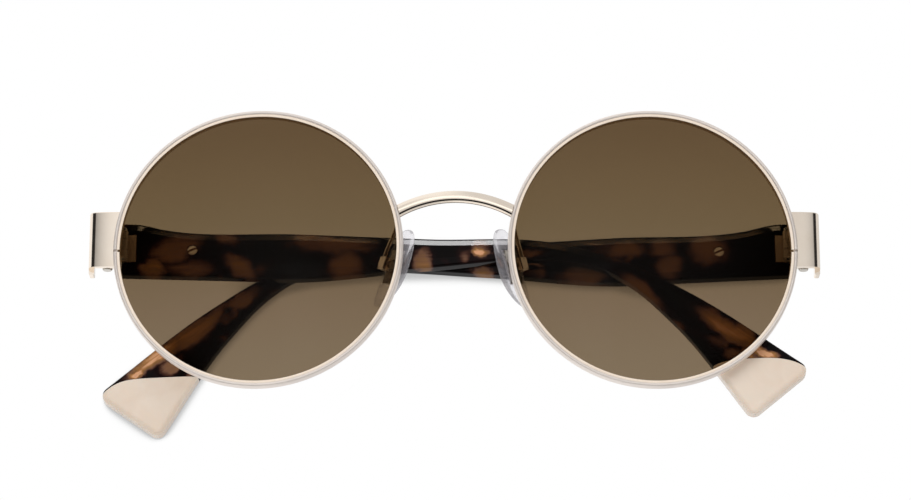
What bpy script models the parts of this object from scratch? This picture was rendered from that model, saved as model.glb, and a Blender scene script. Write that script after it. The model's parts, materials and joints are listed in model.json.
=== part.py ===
"""Round metal sunglasses with acetate temples, folded and lying on their temples with the front up.

Every size is in metres. Pieces of one side are modelled with +X pointing away from the nose
and mirrored for the wearer's right side, which lies at -X.
"""
import math

import bmesh
import bpy
from mathutils import Matrix, Vector

MM = 0.001

# Front: lenses and rims
LENS_DIAMETER = 53.0 * MM
BRIDGE_WIDTH = 21.0 * MM
WRAP_ANGLE = math.radians(2.7)
LENS_BEVEL = 0.75 * MM
LENS_EDGE_THICKNESS = 1.3 * MM
LENS_CENTRE_THICKNESS = 1.8 * MM
LENS_FRONT_RADIUS = 130.0 * MM
RIM_WIDTH = 1.2 * MM
RIM_DEPTH = 2.0 * MM
RIM_COVER = 0.45 * MM
GROOVE_CLEARANCE = 0.25 * MM
RIM_SPLIT = 0.5 * MM
SPLIT_DROP = 0.35 * MM

# Small gaps
SEAT_GAP = 0.12 * MM
SCREW_GAP = 0.1 * MM
PIVOT_GAP = 0.15 * MM

# Bridge
BRIDGE_HEIGHT = 2.0 * MM
BRIDGE_DEPTH = 1.6 * MM
BRIDGE_RISE = 3.0 * MM
BRIDGE_END_ANGLE = math.radians(14.4)
BRIDGE_REACH = 0.8 * MM
BRIDGE_FORWARD = 0.6 * MM

# End pieces
CORNER_REACH = 4.0 * MM
PLATE_THICKNESS = 1.0 * MM
PLATE_TOP = 7.5 * MM
PLATE_BOTTOM = -4.3 * MM
PLATE_SETBACK = 0.6 * MM
PLATE_LENGTH = 4.6 * MM
CORNER_RADIUS = 1.5 * MM
PLATE_BEVEL = 0.45 * MM

# Rim locks
LOCK_SIZE = 2.1 * MM
LOCK_HEIGHT = 2.3 * MM
LOCK_SCREW_RADIUS = 0.55 * MM
LOCK_HEAD_RADIUS = 0.9 * MM
LOCK_HEAD_HEIGHT = 0.5 * MM

# Hinges
PANTOSCOPIC_TILT = math.radians(3.0)
AXIS_INSET = 5.0 * MM
JOINT_GAP = 0.4 * MM
AXIS_BEHIND_JOINT = 0.2 * MM
HINGE_HEIGHT = 2.85 * MM
KNUCKLE_RADIUS = 1.3 * MM
KNUCKLE_OUTER_HEIGHT = 1.6 * MM
KNUCKLE_MIDDLE_HEIGHT = 2.0 * MM
KNUCKLE_GAP = 0.1 * MM
HINGE_PIN_RADIUS = 0.62 * MM
HINGE_HEAD_RADIUS = 1.1 * MM
HINGE_HEAD_HEIGHT = 0.6 * MM
HINGE_ARM_THICKNESS = 1.3 * MM
HINGE_BASE_DEPTH = 1.25 * MM
HINGE_BASE_LENGTH = 1.3 * MM
LEAF_LENGTH = 2.8 * MM
LEAF_HEIGHT = 5.4 * MM
LEAF_DEPTH = 1.9 * MM
SHANK_LENGTH = 15.0 * MM
SHANK_HEIGHT = 4.0 * MM
SHANK_THICKNESS = 1.0 * MM

# Temples, seen from the side: distances from the hinge and heights from the lens centre
TEMPLE_THICKNESS = 3.4 * MM
TEMPLE_EDGE_RADIUS = 1.0 * MM
STACK_GAP = 0.35 * MM
HEAD_TOP = 8.1 * MM
HEAD_BOTTOM = -2.3 * MM
FLARE_LENGTH = 8.5 * MM
FLARE_DROP = 1.4 * MM
BELLY_DISTANCE = 33.0 * MM
BELLY_TOP = 5.65 * MM
BELLY_BOTTOM = -3.5 * MM
MIDDLE_DISTANCE = 58.0 * MM
MIDDLE_TOP = 4.35 * MM
MIDDLE_BOTTOM = -1.45 * MM
WAIST_DISTANCE = 83.0 * MM
WAIST_TOP = 3.1 * MM
WAIST_BOTTOM = -0.45 * MM
BEND_DISTANCE = 95.0 * MM
BEND_UNEVEN = math.radians(2.1)
BEND_UNEVEN_LENGTH = 1.5 * MM
ELBOW_LENGTH = 14.0 * MM
ELBOW_TOP_DROP = 4.1 * MM
ELBOW_BOTTOM_DROP = 4.55 * MM
SHOULDER_LENGTH = 24.3 * MM
SHOULDER_DROP = 9.9 * MM
BULGE_LENGTH = 22.0 * MM
BULGE_DROP = 12.6 * MM
TIP_TOP_LENGTH = 47.3 * MM
TIP_TOP_DROP = 27.0 * MM
TIP_BOTTOM_LENGTH = 35.6 * MM
TIP_BOTTOM_DROP = 32.45 * MM
TIP_CORNER_RADIUS = 1.6 * MM
TIP_JOINT_HEIGHT = -20.9 * MM
TIP_JOINT_SAG = 1.2 * MM
TIP_JOINT_GAP = 0.1 * MM
WIRE_RADIUS = 0.65 * MM
WIRE_END = 117.0 * MM
WIRE_POINTS = 18
RIVET_DISTANCE = 13.3 * MM
RIVET_DROP = 0.4 * MM
RIVET_RADIUS = 0.55 * MM
RIVET_HEAD_RADIUS = 0.94 * MM
RIVET_HEAD_DEPTH = 0.6 * MM
OUTER_SKIN = 0.5 * MM

# Nose pads and their arms
PAD_MIDDLE = 10.85 * MM
PAD_UNEVEN = 0.45 * MM
PAD_DROP = 3.1 * MM
PAD_SETBACK = 2.4 * MM
PAD_LENGTH = 15.4 * MM
PAD_WIDTH = 7.0 * MM
PAD_THICKNESS = 2.4 * MM
PAD_SQUARENESS = 2.6
PAD_SPREAD = math.radians(15.7)
PAD_SPREAD_UNEVEN = math.radians(1.8)
PAD_SPLAY = math.radians(38.0)
PAD_LEAN = math.radians(8.0)
INSERT_LENGTH = 6.6 * MM
INSERT_WIDTH = 3.6 * MM
INSERT_THICKNESS = 0.45 * MM
INSERT_SINK = 0.2 * MM
PAD_SCREW_OFFSET = 1.7 * MM
TAB_RADIUS = 0.75 * MM
TAB_THICKNESS = 1.0 * MM
EAR_THICKNESS = 0.4 * MM
EAR_HALF_LENGTH = 1.2 * MM
EAR_REACH = 0.75 * MM
WEB_THICKNESS = 0.7 * MM
PAD_SCREW_RADIUS = 0.4 * MM
PAD_HEAD_RADIUS = 0.75 * MM
PAD_HEAD_HEIGHT = 0.35 * MM
ARM_RADIUS = 0.4 * MM
ARM_ROOT_ANGLE = math.radians(11.0)
ARM_STANDOFF = 0.4 * MM

# Roundness
RIM_STEPS = 72
LENS_STEPS = 56
ROUND_STEPS = 16
CURVE_STEPS = 4
EDGE_STEPS = 2

# Sizes worked out from those above
LENS_RADIUS = LENS_DIAMETER / 2
LENS_OFFSET = (LENS_DIAMETER + BRIDGE_WIDTH) / 2
RIM_INNER = LENS_RADIUS - RIM_COVER
RIM_OUTER = RIM_INNER + RIM_WIDTH
RIM_REACH = LENS_OFFSET + RIM_OUTER * math.cos(WRAP_ANGLE)
RIM_EDGE_BACK = RIM_OUTER * math.sin(WRAP_ANGLE)
CORNER_X = RIM_REACH + CORNER_REACH
JOINT_Z = -(PLATE_SETBACK + PLATE_LENGTH)
AXIS_X = CORNER_X - AXIS_INSET
AXIS_Z = JOINT_Z - JOINT_GAP - AXIS_BEHIND_JOINT
OUTER_FACE = -AXIS_INSET
INNER_FACE = OUTER_FACE + TEMPLE_THICKNESS
MIDDLE_FACE = (OUTER_FACE + INNER_FACE) / 2
FOLD_TILT = math.asin((TEMPLE_THICKNESS + STACK_GAP) / (2 * AXIS_X))
SPAN = 2 * KNUCKLE_OUTER_HEIGHT + KNUCKLE_MIDDLE_HEIGHT + 2 * KNUCKLE_GAP
WEB_FRONT = TAB_RADIUS + PIVOT_GAP

# Surface finishes: colour, metallic and roughness
FINISHES = {
    "pale_gold": ((0.80, 0.68, 0.53), 1.0, 0.18),
    "rim_enamel": ((0.84, 0.74, 0.64), 0.6, 0.28),
    "brown_lens": ((0.16, 0.11, 0.06), 0.0, 0.05),
    "tortoise": ((0.09, 0.045, 0.02), 0.0, 0.12),
    "cream_acetate": ((0.80, 0.68, 0.56), 0.0, 0.22),
    "pad_silicone": ((0.80, 0.80, 0.78), 0.0, 0.25),
    "steel": ((0.62, 0.61, 0.60), 1.0, 0.30),
}


# Scene and object helpers

def clear_scene():
    """Start from an empty scene."""
    for item in list(bpy.data.objects):
        bpy.data.objects.remove(item, do_unlink=True)


def finish_material(name, finish):
    """A plain shader in one of the finishes above."""
    colour, metallic, roughness = FINISHES[finish]
    material = bpy.data.materials.new(name)
    material.use_nodes = True
    shader = material.node_tree.nodes["Principled BSDF"]
    shader.inputs["Base Color"].default_value = (*colour, 1.0)
    shader.inputs["Metallic"].default_value = metallic
    shader.inputs["Roughness"].default_value = roughness
    return material


def empty(name, parent=None, location=(0, 0, 0), rotation=None):
    """A frame that other pieces are placed in."""
    frame = bpy.data.objects.new(name, None)
    frame.empty_display_size = 5 * MM
    bpy.context.collection.objects.link(frame)
    frame.parent = parent
    frame.location = location
    if rotation is not None:
        frame.rotation_euler = rotation.to_euler()
    return frame


def mesh_from(shape, name, side):
    """The mesh of one closed shape, mirrored for the wearer's right."""
    if side < 0:
        bmesh.ops.scale(shape, vec=(-1, 1, 1), verts=shape.verts)
    bmesh.ops.recalc_face_normals(shape, faces=shape.faces)
    mesh = bpy.data.meshes.new(name)
    shape.to_mesh(mesh)
    shape.free()
    mesh.shade_smooth()
    mesh.set_sharp_from_angle(angle=math.radians(35))
    return mesh


def piece(name, shape, finish, parent, side=1):
    """One solid piece in its own material."""
    item = bpy.data.objects.new(name, mesh_from(shape, name, side))
    item.data.materials.append(finish_material(name, finish))
    bpy.context.collection.objects.link(item)
    item.parent = parent
    return item


def shaped(item, shape, operation, side=1, frame=None):
    """Cut a shape out of a piece, or join one to it."""
    count = len(item.modifiers)
    helper = bpy.data.objects.new(f"{item.name}_{operation.lower()}_{count}",
                                  mesh_from(shape, "helper", side))
    bpy.context.collection.objects.link(helper)
    helper.parent = frame or item.parent
    helper.hide_render = True
    helper.display_type = "WIRE"
    change = item.modifiers.new(operation.lower(), "BOOLEAN")
    change.operation = operation
    change.solver = "EXACT"
    change.object = helper


# Shape helpers

def skin(shape, rings, closed_loop=False):
    """Join neighbouring rings of points with faces, and cap the two ends."""
    for first, second in zip(rings, rings[1:]):
        count = len(first)
        for i in range(count):
            j = (i + 1) % count
            shape.faces.new((first[i], first[j], second[j], second[i]))
    if not closed_loop:
        shape.faces.new(rings[0])
        shape.faces.new(rings[-1])


def ring(profile, steps, gap=0.0, turn=0.0):
    """A profile of radius and height turned about Z, open over the gap's angle."""
    shape = bmesh.new()
    rings = []
    count = steps if gap == 0 else steps + 1
    for k in range(count):
        angle = turn + gap / 2 + (2 * math.pi - gap) * k / steps
        rings.append([shape.verts.new((r * math.cos(angle), r * math.sin(angle), z))
                      for r, z in profile])
    if gap == 0:
        skin(shape, rings + rings[:1], closed_loop=True)
    else:
        skin(shape, rings)
    return shape


def turned(profile, steps):
    """A solid turned about Z whose profile starts and ends on the axis."""
    shape = bmesh.new()
    top = shape.verts.new((0, 0, profile[0][1]))
    bottom = shape.verts.new((0, 0, profile[-1][1]))
    rings = []
    for r, z in profile[1:-1]:
        rings.append([shape.verts.new((r * math.cos(a), r * math.sin(a), z))
                      for a in (2 * math.pi * k / steps for k in range(steps))])
    for first, second in zip(rings, rings[1:]):
        for i in range(steps):
            j = (i + 1) % steps
            shape.faces.new((first[i], first[j], second[j], second[i]))
    for i in range(steps):
        j = (i + 1) % steps
        shape.faces.new((top, rings[0][i], rings[0][j]))
        shape.faces.new((bottom, rings[-1][j], rings[-1][i]))
    return shape


def prism(outline, low, high):
    """A flat outline raised from one height to another along Z."""
    shape = bmesh.new()
    skin(shape, [[shape.verts.new((x, y, z)) for x, y in outline] for z in (low, high)])
    return shape


def inset(outline, amount):
    """An outline moved inwards, corner by corner; it runs clockwise or the other way."""
    points = [Vector(p) for p in outline]
    area = sum(a.x * b.y - b.x * a.y for a, b in zip(points, points[1:] + points[:1]))
    turn = math.copysign(1, area)
    out = []
    for before, here, after in zip(points[-1:] + points, points, points[1:] + points[:1]):
        one = (here - before).normalized()
        two = (after - here).normalized()
        normal = Vector((-one.y - two.y, one.x + two.x)) * turn
        out.append(here + normal * (2 * amount / normal.length_squared))
    return out


def slab(outline, low, high, radius):
    """A flat outline raised along Z, with its edges rounded."""
    turns = [math.pi / 2 * k / EDGE_STEPS for k in range(EDGE_STEPS + 1)]
    levels = [(a, low + radius * (1 - math.cos(a))) for a in turns]
    levels += [(a, high - radius * (1 - math.cos(a))) for a in reversed(turns)]
    shape = bmesh.new()
    rings = []
    for angle, height in levels:
        line = inset(outline, radius * (1 - math.sin(angle)))
        rings.append([shape.verts.new((p.x, p.y, height)) for p in line])
    skin(shape, rings)
    return shape


def box(low, high):
    """A plain block between two corners."""
    (x0, y0, z0), (x1, y1, z1) = low, high
    return prism([(x0, y0), (x1, y0), (x1, y1), (x0, y1)], z0, z1)


def rod(radius, start, end, steps=ROUND_STEPS):
    """A round rod between two points."""
    start, end = Vector(start), Vector(end)
    circle = [(radius * math.cos(a), radius * math.sin(a))
              for a in (2 * math.pi * k / steps for k in range(steps))]
    shape = prism(circle, 0, (end - start).length)
    turn = Vector((0, 0, 1)).rotation_difference(end - start).to_matrix().to_4x4()
    bmesh.ops.transform(shape, matrix=Matrix.Translation(start) @ turn, verts=shape.verts)
    return shape


def headed_rod(radius, head_radius, head, start, end):
    """A screw: a shaft from start to end, with a head of the given height before its start."""
    start, end = Vector(start), Vector(end)
    length = (end - start).length
    chamfer = 0.2 * head
    profile = [(0, -head), (head_radius - chamfer, -head), (head_radius, chamfer - head),
               (head_radius, 0), (radius, 0), (radius, length), (0, length)]
    shape = turned(profile, ROUND_STEPS)
    turn = Vector((0, 0, 1)).rotation_difference(end - start).to_matrix().to_4x4()
    bmesh.ops.transform(shape, matrix=Matrix.Translation(start) @ turn, verts=shape.verts)
    return shape


def tube(path, width, depth, steps, side_axis):
    """An oval bar along a path: its width lies across side_axis, its depth along it."""
    shape = bmesh.new()
    rings = []
    for k, point in enumerate(path):
        before, after = path[max(k - 1, 0)], path[min(k + 1, len(path) - 1)]
        tangent = (after - before).normalized()
        along = (side_axis - tangent * side_axis.dot(tangent)).normalized()
        across = tangent.cross(along)
        rings.append([shape.verts.new(point + across * (width / 2 * math.cos(a))
                                      + along * (depth / 2 * math.sin(a)))
                      for a in (2 * math.pi * i / steps for i in range(steps))])
    skin(shape, rings)
    return shape


def smooth_path(points, steps):
    """A smooth curve through the points, which keeps the first and the last."""
    points = [Vector(p) for p in points]
    gaps = [(b - a).length for a, b in zip(points, points[1:])]
    slopes = [(b - a) / gap for a, b, gap in zip(points, points[1:], gaps)]
    tangents = slopes[:1]
    for before, after, one, two in zip(slopes, slopes[1:], gaps, gaps[1:]):
        tangents.append((before * two + after * one) / (one + two))
    tangents.append(slopes[-1])
    out = []
    for i, gap in enumerate(gaps):
        for k in range(steps):
            t = k / steps
            out.append(points[i] * (2 * t ** 3 - 3 * t ** 2 + 1)
                       + tangents[i] * gap * (t ** 3 - 2 * t ** 2 + t)
                       + points[i + 1] * (3 * t ** 2 - 2 * t ** 3)
                       + tangents[i + 1] * gap * (t ** 3 - t ** 2))
    return out + [points[-1]]


def arc(centre, radius, start, end, steps):
    """Points along an arc in the plane, angles in radians."""
    return [(centre[0] + radius * math.cos(start + (end - start) * k / steps),
             centre[1] + radius * math.sin(start + (end - start) * k / steps))
            for k in range(steps + 1)]


def rounded_corner(before, corner, after, radius, steps=4):
    """Points that round one corner of an outline."""
    corner = Vector(corner)
    one = (Vector(before) - corner).normalized()
    two = (Vector(after) - corner).normalized()
    reach = radius / math.tan(one.angle(two) / 2)
    start, end = corner + one * reach, corner + two * reach
    return [tuple(start.lerp(corner, t).lerp(corner.lerp(end, t), t))
            for t in (k / steps for k in range(steps + 1))]


# Front

def rim_profile():
    """Half-round rim section with a groove for the lens, as radius and height."""
    half = RIM_DEPTH / 2
    groove = LENS_EDGE_THICKNESS / 2
    floor = LENS_RADIUS + GROOVE_CLEARANCE
    outer = [(RIM_INNER, groove), (RIM_INNER, 0.85 * half), (RIM_INNER + 0.25 * RIM_WIDTH, half),
             (RIM_OUTER - 0.35 * RIM_WIDTH, 0.93 * half), (RIM_OUTER, 0.45 * half)]
    lower = [(r, -z) for r, z in reversed(outer)]
    return outer + lower + [(floor, -0.4 * groove), (floor, 0.4 * groove)]


def make_rim(tag, side, lens_frame):
    """A grooved rim, split at its outer side."""
    gap = RIM_SPLIT / RIM_OUTER
    turn = -(SPLIT_DROP / RIM_OUTER)
    shape = ring(rim_profile(), RIM_STEPS, gap, turn)
    return piece(f"rim_{tag}", shape, "rim_enamel", lens_frame, side)


def dome(radius, sag_radius, steps):
    """Radius and height of a shallow dome's rings, from its edge to its crown."""
    full = sag_radius - math.sqrt(sag_radius ** 2 - radius ** 2)
    out = []
    for k in range(steps):
        r = radius * (1 - k / steps)
        out.append((r, full - (sag_radius - math.sqrt(sag_radius ** 2 - r ** 2))))
    return out + [(0, full)]


def make_lens(tag, side, lens_frame):
    """A domed lens with a bevelled edge that sits in the rim's groove."""
    body = LENS_RADIUS - LENS_BEVEL
    half = LENS_EDGE_THICKNESS / 2
    front = [(r, half + z) for r, z in dome(body, LENS_FRONT_RADIUS, 4)]
    crown = front[-1][1] - LENS_CENTRE_THICKNESS
    sag = crown + half
    back_radius = (body ** 2 + sag ** 2) / (2 * sag)
    back = [(r, z - half) for r, z in dome(body, back_radius, 4)]
    bevel = [(LENS_RADIUS, 0.15 * half), (LENS_RADIUS, -0.15 * half)]
    shape = turned(front[::-1] + bevel + back, LENS_STEPS)
    return piece(f"lens_{tag}", shape, "brown_lens", lens_frame, side)


def rim_cutter(height):
    """A disc a little wider than a rim, for cutting what meets the rim's outside."""
    return rod(RIM_OUTER + SEAT_GAP, (0, 0, -height), (0, 0, height), RIM_STEPS)


def make_bridge(front, lens_frames):
    """An arched bar between the two rims."""
    end_x = LENS_OFFSET - (RIM_OUTER - BRIDGE_REACH) * math.cos(BRIDGE_END_ANGLE)
    end_y = (RIM_OUTER - BRIDGE_REACH) * math.sin(BRIDGE_END_ANGLE)
    end_z = (LENS_OFFSET - end_x) * math.sin(WRAP_ANGLE)
    radius = (end_x ** 2 + BRIDGE_RISE ** 2) / (2 * BRIDGE_RISE)
    swing = math.asin(end_x / radius)
    path = []
    steps = 16
    for k in range(steps + 1):
        angle = swing * (2 * k / steps - 1)
        path.append(Vector((radius * math.sin(angle),
                            end_y + BRIDGE_RISE - radius * (1 - math.cos(angle)),
                            end_z + BRIDGE_FORWARD * math.cos(angle / swing * math.pi / 2))))
    shape = tube(path, BRIDGE_HEIGHT, BRIDGE_DEPTH, 10, Vector((0, 0, 1)))
    bridge = piece("bridge", shape, "pale_gold", front)
    for lens_frame in lens_frames:
        shaped(bridge, rim_cutter(3 * RIM_DEPTH), "DIFFERENCE", 1, lens_frame)
    return bridge


def plate_outline():
    """The bent end piece seen from above: distance from the nose, and height of the front."""
    inner_end = RIM_REACH - 2 * RIM_WIDTH
    front_z = -PLATE_SETBACK
    outer = arc((CORNER_X - CORNER_RADIUS, front_z - CORNER_RADIUS), CORNER_RADIUS,
                math.pi / 2, 0, 5)
    inner = arc((CORNER_X - CORNER_RADIUS, front_z - CORNER_RADIUS),
                CORNER_RADIUS - PLATE_THICKNESS, 0, math.pi / 2, 4)
    back_z = JOINT_Z - PLATE_SETBACK
    return ([(inner_end, front_z)] + outer + [(CORNER_X, back_z)]
            + [(CORNER_X - PLATE_THICKNESS, back_z)] + inner
            + [(inner_end, front_z - PLATE_THICKNESS)])


def make_end_piece(tag, side, front, lens_frame, hinge_frame):
    """A flat strip beside the rim that bends back to carry the hinge, cut square behind."""
    shape = slab(plate_outline(), PLATE_BOTTOM, PLATE_TOP, PLATE_BEVEL)
    swap = Matrix(((1, 0, 0, 0), (0, 0, 1, 0), (0, 1, 0, 0), (0, 0, 0, 1)))
    bmesh.ops.transform(shape, matrix=swap, verts=shape.verts)
    plate = piece(f"end_piece_{tag}", shape, "pale_gold", front, side)
    shaped(plate, rim_cutter(6 * RIM_DEPTH), "DIFFERENCE", 1, lens_frame)
    rear = box((0, -2 * PLATE_TOP, -PLATE_LENGTH), (AXIS_INSET + PLATE_LENGTH, 2 * PLATE_TOP,
                                                    AXIS_BEHIND_JOINT + JOINT_GAP))
    shaped(plate, rear, "DIFFERENCE", side, hinge_frame)
    return plate


def lock_span():
    """The rim lock's nearest and farthest distance from the nose, and its front and back."""
    near = RIM_REACH + SEAT_GAP
    front_z = -PLATE_SETBACK - PLATE_THICKNESS - SEAT_GAP
    return near, near + LOCK_SIZE, front_z - LOCK_SIZE, front_z


def make_locks(tag, side, front):
    """The two blocks behind the end piece that close the rim, and their screw."""
    near, far, back_z, front_z = lock_span()
    middle = ((near + far) / 2, (back_z + front_z) / 2)
    split = -SPLIT_DROP
    half = RIM_SPLIT / 2
    bore = LOCK_SCREW_RADIUS + SCREW_GAP
    upper = (split + half, split + half + LOCK_HEIGHT)
    lower = (split - half - LOCK_HEIGHT, split - half)
    for place, (y0, y1) in (("upper", upper), ("lower", lower)):
        block = piece(f"rim_lock_{place}_{tag}", box((near, y0, back_z), (far, y1, front_z)),
                      "pale_gold", front, side)
        top = y1 - 0.4 * LOCK_HEIGHT if place == "upper" else y1 + half
        hole = rod(bore, (middle[0], y0 - half, middle[1]), (middle[0], top, middle[1]))
        shaped(block, hole, "DIFFERENCE", side)
    start = (middle[0], lower[0] - SCREW_GAP, middle[1])
    end = (middle[0], upper[1] - 0.4 * LOCK_HEIGHT - SCREW_GAP, middle[1])
    screw = headed_rod(LOCK_SCREW_RADIUS, LOCK_HEAD_RADIUS, LOCK_HEAD_HEIGHT, start, end)
    piece(f"rim_lock_screw_{tag}", screw, "steel", front, side)


# Hinges

def knuckle_heights():
    """Low and high ends of the lower, middle and upper knuckle, along the hinge axis."""
    low = -SPAN / 2
    middle = KNUCKLE_MIDDLE_HEIGHT / 2
    return ((low, low + KNUCKLE_OUTER_HEIGHT), (-middle, middle),
            (-low - KNUCKLE_OUTER_HEIGHT, -low))


def make_front_hinge(tag, side, hinge_frame):
    """A base on the end piece with the two outer knuckles."""
    wall = AXIS_INSET - PLATE_THICKNESS - SEAT_GAP
    joint = AXIS_BEHIND_JOINT + JOINT_GAP
    base = box((wall - HINGE_BASE_DEPTH, -SPAN / 2, joint),
               (wall, SPAN / 2, joint + HINGE_BASE_LENGTH))
    leaf = piece(f"hinge_front_{tag}", base, "pale_gold", hinge_frame, side)
    heights = knuckle_heights()
    for y0, y1 in (heights[0], heights[2]):
        arm = box((0, y0, joint), (wall - HINGE_BASE_DEPTH / 2, y1, joint + HINGE_ARM_THICKNESS))
        shaped(leaf, arm, "UNION", side)
        knuckle = rod(KNUCKLE_RADIUS, (0, y0, 0), (0, y1, 0))
        shaped(leaf, knuckle, "UNION", side)
    bore = rod(HINGE_PIN_RADIUS + SCREW_GAP, (0, -SPAN, 0), (0, SPAN, 0))
    shaped(leaf, bore, "DIFFERENCE", side)
    return leaf


def make_hinge_screw(tag, side, hinge_frame):
    """The hinge's screw, headed at the top."""
    top = SPAN / 2 + SCREW_GAP
    screw = headed_rod(HINGE_PIN_RADIUS, HINGE_HEAD_RADIUS, HINGE_HEAD_HEIGHT,
                       (0, top, 0), (0, -SPAN / 2, 0))
    return piece(f"hinge_screw_{tag}", screw, "steel", hinge_frame, side)


def make_temple_hinge(tag, side, axis_frame):
    """The middle knuckle, a block let into the temple's end and a shank inside it."""
    y0, y1 = knuckle_heights()[1]
    end = AXIS_BEHIND_JOINT
    block = box((end - LEAF_LENGTH, -LEAF_HEIGHT / 2, INNER_FACE - LEAF_DEPTH),
                (end, LEAF_HEIGHT / 2, INNER_FACE))
    leaf = piece(f"hinge_temple_{tag}", block, "pale_gold", axis_frame, side)
    neck = box((-KNUCKLE_RADIUS * 0.7, y0, INNER_FACE - LEAF_DEPTH / 2),
               (end, y1, 0))
    shaped(leaf, neck, "UNION", side)
    shaped(leaf, rod(KNUCKLE_RADIUS, (0, y0, 0), (0, y1, 0)), "UNION", side)
    shank = box((end - LEAF_LENGTH - SHANK_LENGTH, -SHANK_HEIGHT / 2,
                 MIDDLE_FACE - SHANK_THICKNESS / 2),
                (end - LEAF_LENGTH / 2, SHANK_HEIGHT / 2, MIDDLE_FACE + SHANK_THICKNESS / 2))
    shaped(leaf, shank, "UNION", side)
    bore = rod(HINGE_PIN_RADIUS + SCREW_GAP, (0, -SPAN, 0), (0, SPAN, 0))
    shaped(leaf, bore, "DIFFERENCE", side)
    eye = rod(RIVET_RADIUS + SCREW_GAP, (-RIVET_DISTANCE, -RIVET_DROP, OUTER_FACE),
              (-RIVET_DISTANCE, -RIVET_DROP, INNER_FACE))
    shaped(leaf, eye, "DIFFERENCE", side)
    return leaf


# Temples

def temple_edges(side):
    """Upper and lower edge of a temple with its tip, as distance and height."""
    waist = WAIST_DISTANCE
    start = -AXIS_BEHIND_JOINT
    upper = [(start, HEAD_TOP), (0.3 * FLARE_LENGTH, HEAD_TOP - 0.08 * FLARE_DROP),
             (FLARE_LENGTH, HEAD_TOP - FLARE_DROP), (BELLY_DISTANCE, BELLY_TOP),
             (MIDDLE_DISTANCE, MIDDLE_TOP),
             (waist, WAIST_TOP), (waist + 0.53 * ELBOW_LENGTH, WAIST_TOP - 0.39 * ELBOW_TOP_DROP),
             (waist + ELBOW_LENGTH, WAIST_TOP - ELBOW_TOP_DROP),
             (waist + SHOULDER_LENGTH, WAIST_TOP - SHOULDER_DROP),
             (waist + TIP_TOP_LENGTH, WAIST_TOP - TIP_TOP_DROP)]
    lower = [(start, HEAD_BOTTOM), (0.6 * BELLY_DISTANCE, 0.4 * HEAD_BOTTOM + 0.6 * BELLY_BOTTOM),
             (BELLY_DISTANCE, BELLY_BOTTOM), (MIDDLE_DISTANCE, MIDDLE_BOTTOM),
             (waist, WAIST_BOTTOM),
             (waist + 0.68 * ELBOW_LENGTH, WAIST_BOTTOM - 0.38 * ELBOW_BOTTOM_DROP),
             (waist + ELBOW_LENGTH, WAIST_BOTTOM - ELBOW_BOTTOM_DROP),
             (waist + BULGE_LENGTH, WAIST_BOTTOM - BULGE_DROP),
             (waist + TIP_BOTTOM_LENGTH, WAIST_BOTTOM - TIP_BOTTOM_DROP)]
    return [smooth_path([adjusted(Vector(p), side) for p in line], CURVE_STEPS)
            for line in (upper, lower)]


def adjusted(point, side):
    """A point of the temple after the bend is set: a little later and steeper on one side."""
    if point.x <= WAIST_DISTANCE:
        return point
    if point.x >= BEND_DISTANCE:
        pivot = Vector((BEND_DISTANCE, (WAIST_TOP + WAIST_BOTTOM) / 2))
        point = Matrix.Rotation(-side * BEND_UNEVEN, 2) @ (point - pivot) + pivot
    return point + Vector((side * BEND_UNEVEN_LENGTH, 0))


def temple_outline(side):
    """The whole outline round the temple, with the tip's two corners rounded."""
    over, under = temple_edges(side)
    end_top, end_bottom = over[-1], under[-1]
    tip = (rounded_corner(over[-2], end_top, end_bottom, TIP_CORNER_RADIUS)
           + rounded_corner(end_top, end_bottom, under[-2], TIP_CORNER_RADIUS))
    loop = over[:-1] + tip + under[-2::-1]
    return [(-p[0], p[1]) for p in loop]


def height_at(line, distance):
    """Height of an edge at a distance from the hinge."""
    for a, b in zip(line, line[1:]):
        if a.x <= distance <= b.x:
            return a.y + (b.y - a.y) * (distance - a.x) / (b.x - a.x)
    return line[-1].y


def joint_height(distance):
    """Height of the bowed line where the tip is glued on, at a distance from the hinge."""
    low_x = WAIST_DISTANCE + ELBOW_LENGTH + 0.5 * TIP_BOTTOM_LENGTH
    high_x = WAIST_DISTANCE + TIP_TOP_LENGTH
    middle = (low_x + high_x) / 2
    return TIP_JOINT_HEIGHT - TIP_JOINT_SAG * ((distance - middle) / (high_x - middle)) ** 2


def tip_region(side, shift):
    """A block that covers everything beyond the glued line, moved by a small shift."""
    low_x = WAIST_DISTANCE + ELBOW_LENGTH
    high_x = WAIST_DISTANCE + TIP_TOP_LENGTH + ELBOW_LENGTH
    steps = 12
    line = [(low_x + (high_x - low_x) * k / steps) for k in range(steps + 1)]
    deep = WAIST_BOTTOM - TIP_BOTTOM_DROP - ELBOW_LENGTH
    outline = [(x, joint_height(x) + shift) for x in line] + [(high_x, deep), (low_x, deep)]
    outline = [adjusted(Vector(p), side) for p in outline]
    region = prism([(-p.x, p.y) for p in outline], 2 * OUTER_FACE, 0)
    bmesh.ops.translate(region, vec=(0, -HINGE_HEIGHT, 0), verts=region.verts)
    return region


def temple_blank(side):
    """The temple and its tip as one slab with rounded edges, in the hinge's frame."""
    shape = slab(temple_outline(side), OUTER_FACE, INNER_FACE, TEMPLE_EDGE_RADIUS)
    bmesh.ops.translate(shape, vec=(0, -HINGE_HEIGHT, 0), verts=shape.verts)
    return shape


def wire_tube(side, radius, extra):
    """A round bar midway between the temple's edges, made longer at both ends by extra."""
    over, under = temple_edges(side)
    start = SHANK_LENGTH + LEAF_LENGTH - AXIS_BEHIND_JOINT + PIVOT_GAP
    path = []
    for k in range(WIRE_POINTS + 1):
        distance = start + (WIRE_END - start) * k / WIRE_POINTS
        middle = (height_at(over, distance) + height_at(under, distance)) / 2
        path.append(Vector((-distance, middle - HINGE_HEIGHT, MIDDLE_FACE)))
    path[0] += (path[0] - path[1]).normalized() * extra
    path[-1] += (path[-1] - path[-2]).normalized() * extra
    return tube(path, 2 * radius, 2 * radius, 8, Vector((0, 0, 1)))


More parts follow.
